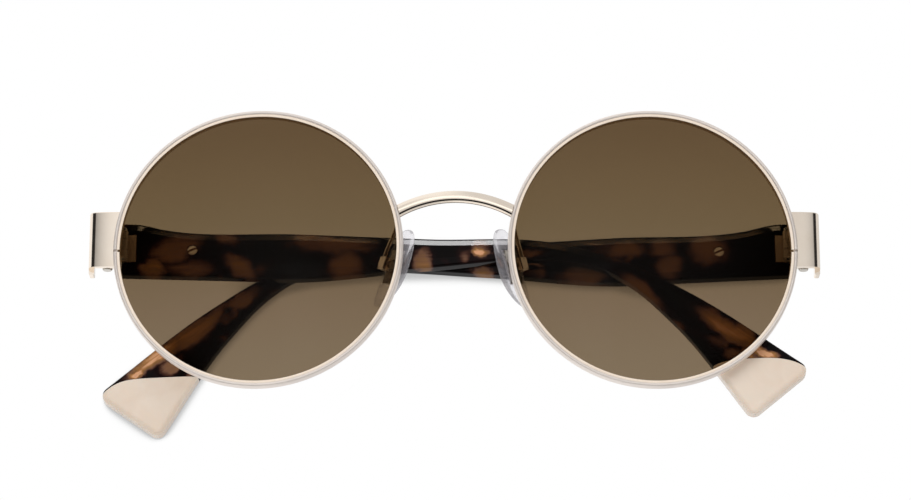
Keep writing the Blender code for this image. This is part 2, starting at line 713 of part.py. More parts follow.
def cut_wire_way(item, side):
    """The bore for the core wire, open to the pocket at the temple's end."""
    shaped(item, wire_tube(side, WIRE_RADIUS + PIVOT_GAP, 3 * PIVOT_GAP), "DIFFERENCE", side)


def make_temple(tag, side, axis_frame):
    """The tortoise part of a temple, with a pocket for the hinge and a bore for the wire."""
    temple = piece(f"temple_{tag}", temple_blank(side), "tortoise", axis_frame, side)
    shaped(temple, tip_region(side, TIP_JOINT_GAP / 2), "DIFFERENCE", side)
    end = AXIS_BEHIND_JOINT
    notch = box((end - LEAF_LENGTH - PIVOT_GAP, -LEAF_HEIGHT / 2 - PIVOT_GAP,
                 INNER_FACE - LEAF_DEPTH - PIVOT_GAP),
                (end + LEAF_LENGTH, LEAF_HEIGHT / 2 + PIVOT_GAP, INNER_FACE + LEAF_DEPTH))
    shaped(temple, notch, "DIFFERENCE", side)
    pocket = box((end - LEAF_LENGTH - SHANK_LENGTH - PIVOT_GAP, -SHANK_HEIGHT / 2 - PIVOT_GAP,
                  MIDDLE_FACE - SHANK_THICKNESS / 2 - PIVOT_GAP),
                 (end - LEAF_LENGTH / 2, SHANK_HEIGHT / 2 + PIVOT_GAP,
                  MIDDLE_FACE + SHANK_THICKNESS / 2 + PIVOT_GAP))
    shaped(temple, pocket, "DIFFERENCE", side)
    cut_wire_way(temple, side)
    hole = rod(RIVET_RADIUS + SCREW_GAP, (-RIVET_DISTANCE, -RIVET_DROP, OUTER_FACE + OUTER_SKIN),
               (-RIVET_DISTANCE, -RIVET_DROP, 0))
    shaped(temple, hole, "DIFFERENCE", side)
    seat = rod(RIVET_HEAD_RADIUS + SCREW_GAP,
               (-RIVET_DISTANCE, -RIVET_DROP, INNER_FACE - RIVET_HEAD_DEPTH),
               (-RIVET_DISTANCE, -RIVET_DROP, 0))
    shaped(temple, seat, "DIFFERENCE", side)
    return temple


def make_tip(tag, side, axis_frame):
    """The cream tip glued to the temple's end."""
    tip = piece(f"temple_tip_{tag}", temple_blank(side), "cream_acetate", axis_frame, side)
    shaped(tip, tip_region(side, -TIP_JOINT_GAP / 2), "INTERSECT", side)
    cut_wire_way(tip, side)
    return tip


def make_core_wire(tag, side, axis_frame):
    """The steel wire inside the acetate."""
    return piece(f"core_wire_{tag}", wire_tube(side, WIRE_RADIUS, 0), "steel", axis_frame, side)


def make_rivet(tag, side, axis_frame):
    """The pin that holds the hinge's shank in the temple."""
    top = INNER_FACE - RIVET_HEAD_DEPTH + SCREW_GAP / 2
    bottom = OUTER_FACE + OUTER_SKIN + SCREW_GAP
    pin = headed_rod(RIVET_RADIUS, RIVET_HEAD_RADIUS, RIVET_HEAD_DEPTH,
                     (-RIVET_DISTANCE, -RIVET_DROP, top), (-RIVET_DISTANCE, -RIVET_DROP, bottom))
    return piece(f"temple_rivet_{tag}", pin, "pale_gold", axis_frame, side)


# Nose pads

def pad_axes(side):
    """Directions across the pad, up the pad, and towards the nose, for the side at +X."""
    spread = PAD_SPREAD - side * PAD_SPREAD_UNEVEN
    up = Vector((-math.sin(spread) * math.cos(PAD_LEAN),
                 math.cos(spread) * math.cos(PAD_LEAN), math.sin(PAD_LEAN)))
    forward = Vector((-math.sin(PAD_SPLAY), 0, math.cos(PAD_SPLAY)))
    inward = forward.cross(up).normalized()
    return up.cross(inward), up, inward


def pad_point(side, across, up, inward):
    """A point given in the pad's own directions, in the front's frame for the side at +X."""
    centre = Vector((PAD_MIDDLE - side * PAD_UNEVEN, -PAD_DROP, -PAD_SETBACK))
    a, b, c = pad_axes(side)
    return centre + a * across + b * up + c * inward


def pad_shell():
    """A pillow with squared ends."""
    shape = bmesh.new()
    around, along = 16, 10
    rings = []
    for k in range(1, along):
        height = -math.cos(math.pi * k / along)
        width = (1 - abs(height) ** PAD_SQUARENESS) ** (1 / PAD_SQUARENESS)
        circle = [2 * math.pi * i / around for i in range(around)]
        rings.append([shape.verts.new((PAD_WIDTH / 2 * width * math.cos(a),
                                       PAD_LENGTH / 2 * height,
                                       PAD_THICKNESS / 2 * width * math.sin(a)))
                      for a in circle])
    skin(shape, rings)
    bmesh.ops.translate(shape, vec=(0, 0, PAD_SCREW_OFFSET), verts=shape.verts)
    return shape


def make_pad(tag, side, pad_frame):
    """The soft pad with a recess for its metal insert."""
    pad = piece(f"nose_pad_{tag}", pad_shell(), "pad_silicone", pad_frame, side)
    half_w = INSERT_WIDTH / 2 + PIVOT_GAP
    half_l = INSERT_LENGTH / 2 + PIVOT_GAP
    floor = PAD_SCREW_OFFSET - INSERT_SINK + PIVOT_GAP
    recess = box((-half_w, -half_l, -PAD_THICKNESS), (half_w, half_l, floor))
    shaped(pad, recess, "DIFFERENCE", side)
    return pad


def make_insert(tag, side, pad_frame):
    """The plate moulded into the pad, with the tab that turns on the pad's screw."""
    top = PAD_SCREW_OFFSET - INSERT_SINK
    half_w, half_l = INSERT_WIDTH / 2, INSERT_LENGTH / 2
    plate = box((-half_w, -half_l, top - INSERT_THICKNESS), (half_w, half_l, top))
    insert = piece(f"pad_insert_{tag}", plate, "steel", pad_frame, side)
    half_t = TAB_THICKNESS / 2
    stem = box((-half_t, -0.9 * TAB_RADIUS, 0),
               (half_t, 0.9 * TAB_RADIUS, top - INSERT_THICKNESS / 2))
    shaped(insert, stem, "UNION", side)
    shaped(insert, rod(TAB_RADIUS, (-half_t, 0, 0), (half_t, 0, 0)), "UNION", side)
    bore = rod(PAD_SCREW_RADIUS + SCREW_GAP, (-INSERT_WIDTH, 0, 0), (INSERT_WIDTH, 0, 0))
    shaped(insert, bore, "DIFFERENCE", side)
    return insert


def arm_path(side):
    """The pad arm's course from the rim's back to the box, in the front's frame."""
    root_r = RIM_INNER + RIM_WIDTH / 2
    local = Vector((-root_r * math.cos(ARM_ROOT_ANGLE), root_r * math.sin(ARM_ROOT_ANGLE),
                    -RIM_DEPTH / 2 - SEAT_GAP))
    root = Matrix.Rotation(WRAP_ANGLE, 3, "Y") @ local + Vector((LENS_OFFSET, 0, 0))
    back = Vector((0, 0, -1))
    web = -PAD_SCREW_OFFSET - WEB_FRONT - WEB_THICKNESS / 2
    end = pad_point(side, 0, EAR_HALF_LENGTH / 2, web)
    above = pad_point(side, 0, 1.6 * EAR_HALF_LENGTH, web)
    bend = root + back * (ARM_RADIUS + ARM_STANDOFF)
    down = bend.lerp(above, 0.4) + back * ARM_STANDOFF
    return [root, root + back * 0.6 * ARM_RADIUS, bend + (down - bend) * 0.15, down, above, end]


def make_pad_arm(tag, side, front, pad_frame):
    """A bent wire from the rim with a forked box at its end, and the pad's screw."""
    path = smooth_path(arm_path(side), CURVE_STEPS)
    wire = tube(path, 2 * ARM_RADIUS, 2 * ARM_RADIUS, 8, Vector((1.0, 0.2, 0.3)))
    arm = piece(f"pad_arm_{tag}", wire, "pale_gold", front, side)
    ear_in = TAB_THICKNESS / 2 + PIVOT_GAP
    ear_out = ear_in + EAR_THICKNESS
    block = box((-ear_out, -EAR_HALF_LENGTH, -WEB_FRONT - WEB_THICKNESS),
                (ear_out, EAR_HALF_LENGTH, EAR_REACH))
    shaped(arm, block, "UNION", side, pad_frame)
    slot = box((-ear_in, -2 * EAR_HALF_LENGTH, -WEB_FRONT),
               (ear_in, 2 * EAR_HALF_LENGTH, 2 * EAR_REACH))
    shaped(arm, slot, "DIFFERENCE", side, pad_frame)
    bore = rod(PAD_SCREW_RADIUS + SCREW_GAP, (-2 * ear_out, 0, 0), (2 * ear_out, 0, 0))
    shaped(arm, bore, "DIFFERENCE", side, pad_frame)
    screw = headed_rod(PAD_SCREW_RADIUS, PAD_HEAD_RADIUS, PAD_HEAD_HEIGHT,
                       (ear_out + SCREW_GAP / 2, 0, 0), (-ear_out, 0, 0))
    piece(f"pad_screw_{tag}", screw, "steel", pad_frame, side)


def pad_frame_for(tag, side, front):
    """The frame on the pad's screw axis: X along the screw, Y up the pad."""
    origin = pad_point(side, 0, 0, -PAD_SCREW_OFFSET)
    across, up, inward = pad_axes(side)
    turn = Matrix((across, up, inward)).transposed()
    if side < 0:
        flip = Matrix.Scale(-1, 3, Vector((1, 0, 0)))
        turn = flip @ turn @ flip
        origin = flip @ origin
    return empty(f"pad_axis_{tag}", front, origin, turn)


# Assembly

def build_side(tag, side, seat, front):
    """All the pieces of one side."""
    lens_frame = empty(f"lens_frame_{tag}", front, (side * LENS_OFFSET, 0, 0),
                       Matrix.Rotation(side * WRAP_ANGLE, 3, "Y"))
    hinge_frame = empty(f"hinge_frame_{tag}", seat, (side * AXIS_X, HINGE_HEIGHT, AXIS_Z))
    axis_frame = empty(f"temple_axis_{tag}", seat, (side * AXIS_X, HINGE_HEIGHT, AXIS_Z),
                       Matrix.Rotation(-FOLD_TILT, 3, "Y"))
    pad_frame = pad_frame_for(tag, side, front)
    make_rim(tag, side, lens_frame)
    make_lens(tag, side, lens_frame)
    make_end_piece(tag, side, front, lens_frame, hinge_frame)
    make_locks(tag, side, front)
    make_front_hinge(tag, side, hinge_frame)
    make_hinge_screw(tag, side, hinge_frame)
    make_temple(tag, side, axis_frame)
    make_tip(tag, side, axis_frame)
    make_core_wire(tag, side, axis_frame)
    make_temple_hinge(tag, side, axis_frame)
    make_rivet(tag, side, axis_frame)
    make_pad(tag, side, pad_frame)
    make_insert(tag, side, pad_frame)
    make_pad_arm(tag, side, front, pad_frame)
    return lens_frame


def settle(seat):
    """Set the glasses down: the lowest point at height zero, centred over the origin."""
    bpy.context.view_layer.update()
    graph = bpy.context.evaluated_depsgraph_get()
    low = Vector((math.inf,) * 3)
    high = Vector((-math.inf,) * 3)
    for item in bpy.data.objects:
        if item.type != "MESH" or item.hide_render:
            continue
        solid = item.evaluated_get(graph)
        mesh = solid.to_mesh()
        for vertex in mesh.vertices:
            place = solid.matrix_world @ vertex.co
            low = Vector(map(min, low, place))
            high = Vector(map(max, high, place))
        solid.to_mesh_clear()
    seat.location -= Vector(((low.x + high.x) / 2, (low.y + high.y) / 2, low.z))


def main():
    """Build both sides and join them with the bridge."""
    clear_scene()
    seat = empty("seat", None, (0, 0, 0), Matrix.Rotation(FOLD_TILT, 3, "Y"))
    front = empty("front_frame", seat, (0, 0, 0), Matrix.Rotation(PANTOSCOPIC_TILT, 3, "X"))
    lens_frames = [build_side(tag, side, seat, front) for tag, side in (("r", -1), ("l", 1))]
    make_bridge(front, lens_frames)
    settle(seat)
    bpy.context.view_layer.update()


main()
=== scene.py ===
"""Round metal sunglasses with acetate temples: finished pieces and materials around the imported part.

Pieces of one side are modelled with +X pointing away from the nose, in metres, and mirrored
for the wearer's right side, which lies at -X.
"""
import json
from math import asin, copysign, cos, pi, radians, sin, sqrt, tan

import bmesh
import bpy
from mathutils import Matrix, Vector

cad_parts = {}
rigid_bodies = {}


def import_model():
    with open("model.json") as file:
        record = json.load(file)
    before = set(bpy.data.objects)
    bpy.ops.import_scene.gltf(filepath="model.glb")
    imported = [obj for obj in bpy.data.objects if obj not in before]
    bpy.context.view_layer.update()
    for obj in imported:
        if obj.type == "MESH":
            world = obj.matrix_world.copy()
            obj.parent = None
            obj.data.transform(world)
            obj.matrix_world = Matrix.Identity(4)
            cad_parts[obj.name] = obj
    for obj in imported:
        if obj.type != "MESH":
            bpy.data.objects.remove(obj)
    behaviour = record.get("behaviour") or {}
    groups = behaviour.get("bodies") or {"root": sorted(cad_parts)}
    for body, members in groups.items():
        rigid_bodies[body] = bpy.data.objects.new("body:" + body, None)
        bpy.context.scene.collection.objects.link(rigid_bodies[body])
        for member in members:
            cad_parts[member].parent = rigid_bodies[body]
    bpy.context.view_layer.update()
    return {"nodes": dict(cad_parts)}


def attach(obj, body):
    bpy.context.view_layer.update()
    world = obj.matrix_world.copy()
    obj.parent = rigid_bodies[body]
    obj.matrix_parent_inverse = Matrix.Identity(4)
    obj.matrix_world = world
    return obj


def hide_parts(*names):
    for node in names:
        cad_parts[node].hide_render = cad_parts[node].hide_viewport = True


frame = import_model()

MM = 0.001

# Front: lenses and rims
LENS_DIAMETER = 53 * MM
BRIDGE_WIDTH = 21 * MM
WRAP_ANGLE = radians(2.7)
PANTOSCOPIC_TILT = radians(3)
LENS_BEVEL = 0.75 * MM
LENS_EDGE_THICKNESS = 1.3 * MM
LENS_CENTRE_THICKNESS = 1.8 * MM
LENS_FRONT_RADIUS = 130 * MM
RIM_WIDTH = 1.2 * MM
RIM_DEPTH = 2 * MM
RIM_COVER = 0.45 * MM
GROOVE_CLEARANCE = 0.25 * MM
RIM_SPLIT = 0.5 * MM
SPLIT_DROP = 0.35 * MM
LEDGE_WIDTH = 0.5 * MM
LEDGE_DROP = 0.2 * MM
RIM_CORNER = 0.08 * MM
RIM_BACK_ROUND = 0.4 * MM
RIM_OVERLAP = 0.02 * MM
BRIDGE_CUT_REACH = 10 * MM
PLATE_CUT_REACH = 12 * MM
BEAD_FOOT = 0.04 * MM
BEAD_FULLNESS = 0.8
GROOVE_FLAT = 0.4
LENS_EDGE_FLAT = 0.15

# Small gaps
SEAT_GAP = 0.12 * MM
SCREW_GAP = 0.1 * MM
PIVOT_GAP = 0.15 * MM

# Bridge
BRIDGE_HEIGHT = 2.35 * MM
BRIDGE_DEPTH = 1.9 * MM
BRIDGE_RISE = 3 * MM
BRIDGE_END_ANGLE = radians(14.4)
BRIDGE_REACH = 0.8 * MM
BRIDGE_FORWARD = 0.6 * MM
BRIDGE_SWELL = 0.06
BRIDGE_SWELL_POWER = 8

# End pieces
CORNER_REACH = 4 * MM
PLATE_THICKNESS = 1 * MM
PLATE_TOP = 7.5 * MM
PLATE_BOTTOM = -4.3 * MM
PLATE_SETBACK = 0.6 * MM
PLATE_LENGTH = 4.6 * MM
CORNER_RADIUS = 1.5 * MM
PLATE_BEVEL = 0.25 * MM
PLATE_BOW = 0.24 * MM
PLATE_BOW_ANGLE = radians(8)
FACE_BOTTOM = -3.35 * MM
HOOK_DEPTH = 2.2 * MM
# How much further out the end piece's face stands than the solid's, on each side
PLATE_SPARE = {-1: 0.7 * MM, 1: 0.3 * MM}

# Hinges
AXIS_INSET = 5 * MM
JOINT_GAP = 0.4 * MM
AXIS_BEHIND_JOINT = 0.2 * MM
HINGE_HEIGHT = 2.85 * MM
LEAF_LENGTH = 2.8 * MM
LEAF_HEIGHT = 5.4 * MM
LEAF_DEPTH = 1.9 * MM

# Temples, seen from the side: distances from the hinge and heights from the lens centre
TEMPLE_THICKNESS = 3.4 * MM
EDGE_ROUND = 0.62 * MM
EDGE_BEVEL_ANGLE = radians(15)
EDGE_BEVEL_WIDTH = 1.03 * MM
BEVEL_STOPS = (0.04, 0.96, 1.0)
EDGE_CLEAR = 1.6 * MM
TIP_ROUND_WIDTH = 1.15 * MM
TIP_ROUND_DEPTH = 0.8 * MM
STACK_GAP = 0.35 * MM
HEAD_TOP = 8.1 * MM
HEAD_BOTTOM = -2.3 * MM
FLARE_LENGTH = 8.5 * MM
FLARE_DROP = 1.4 * MM
FLARE_START = (0.3 * FLARE_LENGTH, 0.08 * FLARE_DROP)
BELLY_DISTANCE = 33 * MM
BELLY_TOP = 5.65 * MM
BELLY_BOTTOM = -3.5 * MM
BELLY_START = (0.6 * BELLY_DISTANCE, 0.4 * HEAD_BOTTOM + 0.6 * BELLY_BOTTOM)
MIDDLE_DISTANCE = 58 * MM
MIDDLE_TOP = 4.35 * MM
MIDDLE_BOTTOM = -1.45 * MM
WAIST_DISTANCE = 83 * MM
WAIST_TOP = 3.1 * MM
WAIST_BOTTOM = -0.45 * MM
BEND_DISTANCE = 95 * MM
BEND_UNEVEN = radians(2.1)
BEND_UNEVEN_LENGTH = 1.5 * MM
ELBOW_LENGTH = 14 * MM
ELBOW_TOP_DROP = 4.1 * MM
ELBOW_BOTTOM_DROP = 4.55 * MM
ELBOW_TOP_MIDDLE = (0.53 * ELBOW_LENGTH, 0.39 * ELBOW_TOP_DROP)
ELBOW_BOTTOM_MIDDLE = (0.68 * ELBOW_LENGTH, 0.38 * ELBOW_BOTTOM_DROP)
SHOULDER_LENGTH = 24.3 * MM
SHOULDER_DROP = 9.9 * MM
BULGE_LENGTH = 22 * MM
BULGE_DROP = 12.6 * MM
TIP_TOP_LENGTH = 47.3 * MM
TIP_TOP_DROP = 27 * MM
TIP_BOTTOM_LENGTH = 35.6 * MM
TIP_BOTTOM_DROP = 32.45 * MM
TIP_CORNER_RADIUS = 1.75 * MM
TIP_JOINT_GAP = 0.04 * MM
TIP_JOINT_SCALE = 10 * MM
# The glued line on each side: its middle, its height there, its sag and the sag's power
TIP_JOINT = {1: (117.5 * MM, -20.98 * MM, 1.39 * MM, 4.5),
             -1: (119.6 * MM, -21.4 * MM, 2.4 * MM, 3.0)}
TIP_REGION_START = 4 * MM
TIP_REGION_SPARE = 5 * MM
FACE_INSET = 0.03 * MM
RIVET_DISTANCE = 13.3 * MM
RIVET_DROP = 0.4 * MM
RIVET_RADIUS = 0.55 * MM
RIVET_HEAD_RADIUS = 0.94 * MM
RIVET_HEAD_DEPTH = 0.6 * MM
RIVET_DOME = 0.28 * MM
RIVET_SLOT_WIDTH = 0.42 * MM
RIVET_SLOT_DEPTH = 0.36 * MM
RIVET_SLOT_ANGLE = radians(22)
OUTER_SKIN = 0.5 * MM

# Nose pads and their arms
PAD_MIDDLE = 10.85 * MM
PAD_UNEVEN = 0.45 * MM
PAD_DROP = 3.1 * MM
PAD_SETBACK = 2.4 * MM
PAD_LENGTH = 15.4 * MM
PAD_WIDTH = 7 * MM
PAD_THICKNESS = 2.4 * MM
PAD_SQUARENESS = 2.6
PAD_RIM_CLEARANCE = 0.3 * MM
PAD_SWEEP = 2.4 * MM
PAD_TAPER = 0.22
PAD_SPREAD = radians(15.7)
PAD_SPREAD_UNEVEN = radians(1.8)
PAD_SPLAY = radians(38)
PAD_LEAN = radians(8)
INSERT_LENGTH = 6.6 * MM
INSERT_WIDTH = 3.6 * MM
INSERT_SINK = 0.2 * MM
PAD_SCREW_OFFSET = 1.7 * MM
PAD_SCREW_RADIUS = 0.4 * MM
TAB_RADIUS = 0.75 * MM
TAB_THICKNESS = 1 * MM
EAR_THICKNESS = 0.4 * MM
EAR_HALF_LENGTH = 1.2 * MM
EAR_REACH = 0.75 * MM
WEB_THICKNESS = 0.7 * MM
EAR_ROUND = 0.15 * MM
ARM_RADIUS = 0.4 * MM
ARM_ROOT_ANGLE = radians(11)
ARM_STANDOFF = 0.4 * MM
ARM_ROOT_LENGTH = 0.6
ARM_CURVE_START = 0.15
ARM_LOW_POINT = 0.4
ARM_BOX_REACH = 1.6

# Ends of the names of pieces and nodes: right, neither and left
TAGS = {-1: "_r", 0: "", 1: "_l"}

# Roundness
RIM_STEPS = 288
LENS_STEPS = 192
DOME_STEPS = 10
ROUND_STEPS = 48
CURVE_STEPS = 12
BEAD_STEPS = 7
EDGE_STEPS = 8
TIP_STEPS = 12
BRIDGE_STEPS = 64
BAR_STEPS = 36
WIRE_STEPS = 20
ARM_STEPS = 10
BOW_STEPS = 14
CORNER_STEPS = 18
INNER_CORNER_STEPS = 10
SHARP_ANGLE = radians(32)

# Sizes worked out from the ones above
LENS_RADIUS = LENS_DIAMETER / 2
LENS_OFFSET = (LENS_DIAMETER + BRIDGE_WIDTH) / 2
RIM_INNER = LENS_RADIUS - RIM_COVER
RIM_OUTER = RIM_INNER + RIM_WIDTH
RIM_REACH = LENS_OFFSET + RIM_OUTER * cos(WRAP_ANGLE)
CORNER_X = RIM_REACH + CORNER_REACH
JOINT_Z = -(PLATE_SETBACK + PLATE_LENGTH)
AXIS_X = CORNER_X - AXIS_INSET
AXIS_Z = JOINT_Z - JOINT_GAP - AXIS_BEHIND_JOINT
OUTER_FACE = -AXIS_INSET
INNER_FACE = OUTER_FACE + TEMPLE_THICKNESS
FOLD_TILT = asin((TEMPLE_THICKNESS + STACK_GAP) / (2 * AXIS_X))
WEB_FRONT = TAB_RADIUS + PIVOT_GAP

# Where the glasses lie in the part's frame
SEAT_AT = (0.1027 * MM, 2.9422 * MM, 12.6725 * MM)
SEAT = Matrix.Translation(SEAT_AT) @ Matrix.Rotation(FOLD_TILT, 4, "Y")
FRONT = SEAT @ Matrix.Rotation(PANTOSCOPIC_TILT, 4, "X")

# Camera and image
IMAGE_WIDTH = 911
PIXELS_PER_METRE_AWAY = 3733.0
CAMERA_DISTANCE = 0.7
CAMERA_TILT = radians(18.4)
CAMERA_DROP = 0.32 * MM
CAMERA_NEAR = 10 * MM
SENSOR_WIDTH = 36.0

# Light: each lamp has a name, a place, a size, a power and what it reaches
WORLD_LIGHT = 0.65
LAMPS = [("key_light", (-0.2, 0.5, 1.0), (0.9, 0.7), 4.2, "no mirror"),
         ("fill_light", (0.1, -0.5, 1.0), (0.9, 0.7), 1.0, "no mirror"),
         ("top_light", (0.0, -0.1, 1.2), (0.16, 0.7), 0.16, "all"),
         ("strip_light", (0.0, 0.786, 0.624), (0.23, 0.22), 16.0, "temples")]
WHITE = (1.0, 1.0, 1.0, 1.0)
FLAG_TONE = 0.02
FLOOR_REACH = 3.0
SHADE_REACH = 4.5 * MM
SHADE_STOPS = [(place, (grey, grey, grey)) for place, grey in
               ((0.0, 0.42), (0.5, 0.55), (0.58, 0.72), (0.65, 0.92), (0.75, 1.0))]

# Metals: name, light tone, dark tone, least and most roughness, metallic share, grain, relief
METALS = {
    "gold": ("pale_gold", (0.93, 0.825, 0.71), (0.89, 0.775, 0.655), 0.09, 0.14),
    "rim_bead": ("rim_bead_metal", (0.88, 0.8, 0.74), (0.82, 0.74, 0.68), 0.34, 0.44, 0.55),
    "rivet": ("rivet_brass", (0.95, 0.82, 0.68), (0.88, 0.74, 0.6), 0.3, 0.4, 0.15),
    # Dark brown for the rivet's slot: painted shade in the recess, not a tarnish of the metal
    "painted_slot_shade": ("slot_painted_shade", (0.42, 0.22, 0.09), (0.3, 0.15, 0.06), 0.5, 0.65, 0.5),
    "leaf": ("hinge_brass", (0.78, 0.62, 0.47), (0.68, 0.53, 0.4), 0.4, 0.5, 0.85),
    "steel": ("screw_steel", (0.66, 0.62, 0.56), (0.55, 0.51, 0.46), 0.2, 0.35, 1.0, (1, 6, 1), 0.08),
}

# CAD nodes of each side that keep their shape, under the paint that they get
KEPT_NODES = {
    "gold": ("rim_lock_upper", "rim_lock_lower"),
    "leaf": ("hinge_front", "hinge_temple"),
    "steel": ("rim_lock_screw", "hinge_screw", "pad_screw", "core_wire"),
    "insert": ("pad_insert",),
}

# Lens and pad: share of mirrored light, and the tint by height
LENS_GLOSS = 0.0037
PAD_GLOSS = 0.55
LENS_STOPS = [(0.016, (0.465, 0.399, 0.316)), (0.113, (0.457, 0.391, 0.308)),
              (0.262, (0.442, 0.371, 0.29)), (0.576, (0.391, 0.324, 0.232)),
              (0.717, (0.379, 0.308, 0.217)), (0.949, (0.349, 0.276, 0.192))]

# Tortoise: streaks along the temple, clouds at given places and the colours between them
STREAK_SQUEEZE = 0.09
STREAK_TURN = radians(37)
STREAK_BEND = (24 * MM, 33 * MM)
PATCH_EDGE = (0.25, 1.35)
PATCH_WANDER = 2.2 * MM
TORTOISE_STOPS = [(0.0, (0.003, 0.002, 0.002)), (0.2, (0.008, 0.003, 0.003)),
                  (0.32, (0.05, 0.021, 0.014)), (0.48, (0.15, 0.074, 0.044)),
                  (0.68, (0.21, 0.1, 0.038)), (0.84, (0.34, 0.155, 0.055)),
                  (1.0, (0.62, 0.33, 0.18))]
# Clouds in millimetres: middle x and y, half lengths, turn in degrees and strength
PATCHES_R = [(-53, 5.6, 6.4, 3.6, 15, 0.56), (-57.2, 1.4, 3, 2.8, 10, 0.7),
             (-50.6, 1.6, 5.8, 2.2, 0, 0.5), (-43.4, 7.8, 3, 1.9, -20, 0.56),
             (-40.6, 1.7, 4.6, 2, -32, 0.66), (-28.2, 7.3, 3, 2, -10, 0.56),
             (-20.8, 1.6, 4.4, 3.8, 0, 0.62), (-22.5, 6, 9, 2.2, -4, 0.58),
             (-6.2, 2.2, 2.2, 3.3, 0, 0.68), (4.7, 4.1, 2.1, 1.1, 0, 1.1),
             (4.7, 5, 2.6, 3, 0, 0.46), (14, 4.2, 3.4, 1.2, -4, 0.58),
             (35, -4, 6.6, 2.1, -40, 0.62), (51, -11.6, 8.6, 2.2, -35, 0.86),
             (51.4, -16.3, 2.6, 1.7, -30, 0.52), (54.5, -16.6, 2.4, 1.8, -30, 0.86),
             (58, -16.4, 3, 1.2, -22, 1.1), (41, -10.5, 3.4, 1.2, -40, 0.42)]
PATCHES_L = [(4.9, 1, 2.6, 2, 0, 0.72), (14.2, 2.8, 2.8, 0.5, 0, 0.95),
             (24.6, 1, 6.4, 2.2, 6, 0.7), (32, 5.9, 5.2, 2.2, 5, 0.62),
             (40.4, 2.4, 3.6, 3.2, 0, 0.58), (39, 6.2, 3.2, 2.4, 0, 0.58),
             (47.6, 5.8, 4.8, 3.4, 0, 0.56), (-56.6, -14.8, 8, 1.9, 37, 1),
             (-49.4, -9.6, 9, 2.2, 38, 0.78), (-54, -16.6, 3.4, 1.8, 37, 0.6),
             (-40.5, -3.4, 5, 1.5, 35, 0.54), (-60.4, -18.2, 2, 1, 20, 1.05),
             (-33.5, -1.6, 3, 1.2, 15, 0.44), (-16, 3, 3, 1.2, 0, 0.52)]
# Each temple's side, seed for its random patterns, and clouds
TORTOISE = {"tortoise_r": (-1, 1.7, PATCHES_R), "tortoise_l": (1, 6.3, PATCHES_L)}

# Finished materials by name, filled by make_paints
PAINTS = {}


def lens_place(side):
    """The lens centre's frame."""
    return (FRONT @ Matrix.Translation((side * LENS_OFFSET, 0, 0))
            @ Matrix.Rotation(side * WRAP_ANGLE, 4, "Y"))


def hinge_place(side):
    """The hinge's frame on the front."""
    return SEAT @ Matrix.Translation((side * AXIS_X, HINGE_HEIGHT, AXIS_Z))


def axis_place(side):
    """The hinge's frame on the folded temple."""
    return hinge_place(side) @ Matrix.Rotation(-FOLD_TILT, 4, "Y")


# Shape helpers

def quarter(steps):
    """Angles from nought to a right angle."""
    return [pi / 2 * k / steps for k in range(steps + 1)]


def around(steps):
    """Angles once round a circle."""
    return [2 * pi * k / steps for k in range(steps)]


def skin(shape, rings, capped=True, paints=None):
    """Add rings of points, join neighbouring ones with faces and cap the two ends."""
    rings = [[shape.verts.new(point) for point in ring] for ring in rings]
    for first, second in zip(rings, rings[1:]):
        count = len(first)
        for i in range(count):
            j = (i + 1) % count
            face = shape.faces.new((first[i], first[j], second[j], second[i]))
            if paints:
                face.material_index = paints[i]
    if capped:
        shape.faces.new(rings[0])
        shape.faces.new(rings[-1])
    return rings


def skinned(rings, paints=None):
    """A solid whose skin runs through rings of points."""
    shape = bmesh.new()
    skin(shape, rings, paints=paints)
    return shape


def moved(shape, matrix):
    """A shape after a matrix has moved or turned it."""
    bmesh.ops.transform(shape, matrix=matrix, verts=shape.verts)
    return shape


def split_ring(profile, steps, gap, turn, paints):
    """A profile of radius and height turned about Z, open over the gap's angle."""
    angles = [turn + gap / 2 + (2 * pi - gap) * k / steps for k in range(steps + 1)]
    return skinned([[(r * cos(a), r * sin(a), z) for r, z in profile] for a in angles], paints)


def turned(profile, steps):
    """A solid turned about Z whose profile starts and ends on the axis."""
    shape = bmesh.new()
    top = shape.verts.new((0, 0, profile[0][1]))
    bottom = shape.verts.new((0, 0, profile[-1][1]))
    rings = skin(shape, [[(r * cos(a), r * sin(a), z) for a in around(steps)]
                         for r, z in profile[1:-1]], capped=False)
    for i in range(steps):
        j = (i + 1) % steps
        shape.faces.new((top, rings[0][i], rings[0][j]))
        shape.faces.new((bottom, rings[-1][j], rings[-1][i]))
    return shape


def prism(outline, low, high):
    """A flat outline raised from one height to another along Z."""
    return skinned([[(x, y, z) for x, y in outline] for z in (low, high)])


def inset(outline, amount):
    """An outline moved inwards, corner by corner; it runs clockwise or the other way."""
    points = [Vector(p) for p in outline]
    area = sum(a.x * b.y - b.x * a.y for a, b in zip(points, points[1:] + points[:1]))
    turn = copysign(1, area)
    out = []
    for before, here, after in zip(points[-1:] + points, points, points[1:] + points[:1]):
        one = (here - before).normalized()
        two = (after - here).normalized()
        normal = Vector((-one.y - two.y, one.x + two.x)) * turn
        out.append(here + normal * (2 * amount / normal.length_squared))
    return out


def stacked(outline, levels, drop=0.0):
    """An outline raised through levels of inset and height, and moved down by a drop."""
    return skinned([[(p.x, p.y - drop, z) for p in inset(outline, inward)] for inward, z in levels])


def slab(outline, low, high, radius, steps):
    """A flat outline raised along Z, with its edges rounded."""
    edge = [(radius * (1 - sin(a)), radius * (1 - cos(a))) for a in quarter(steps)]
    return stacked(outline, [(inward, low + rise) for inward, rise in edge]
                   + [(inward, high - rise) for inward, rise in reversed(edge)])


def box(low, high):
    """A plain block between two corners."""
    (x0, y0, z0), (x1, y1, z1) = low, high
    return prism([(x0, y0), (x1, y0), (x1, y1), (x0, y1)], z0, z1)


def rod(radius, start, end, steps=ROUND_STEPS):
    """A round rod between two points."""
    start, end = Vector(start), Vector(end)
    circle = [(radius * cos(a), radius * sin(a)) for a in around(steps)]
    turn = Vector((0, 0, 1)).rotation_difference(end - start).to_matrix().to_4x4()
    return moved(prism(circle, 0, (end - start).length), Matrix.Translation(start) @ turn)


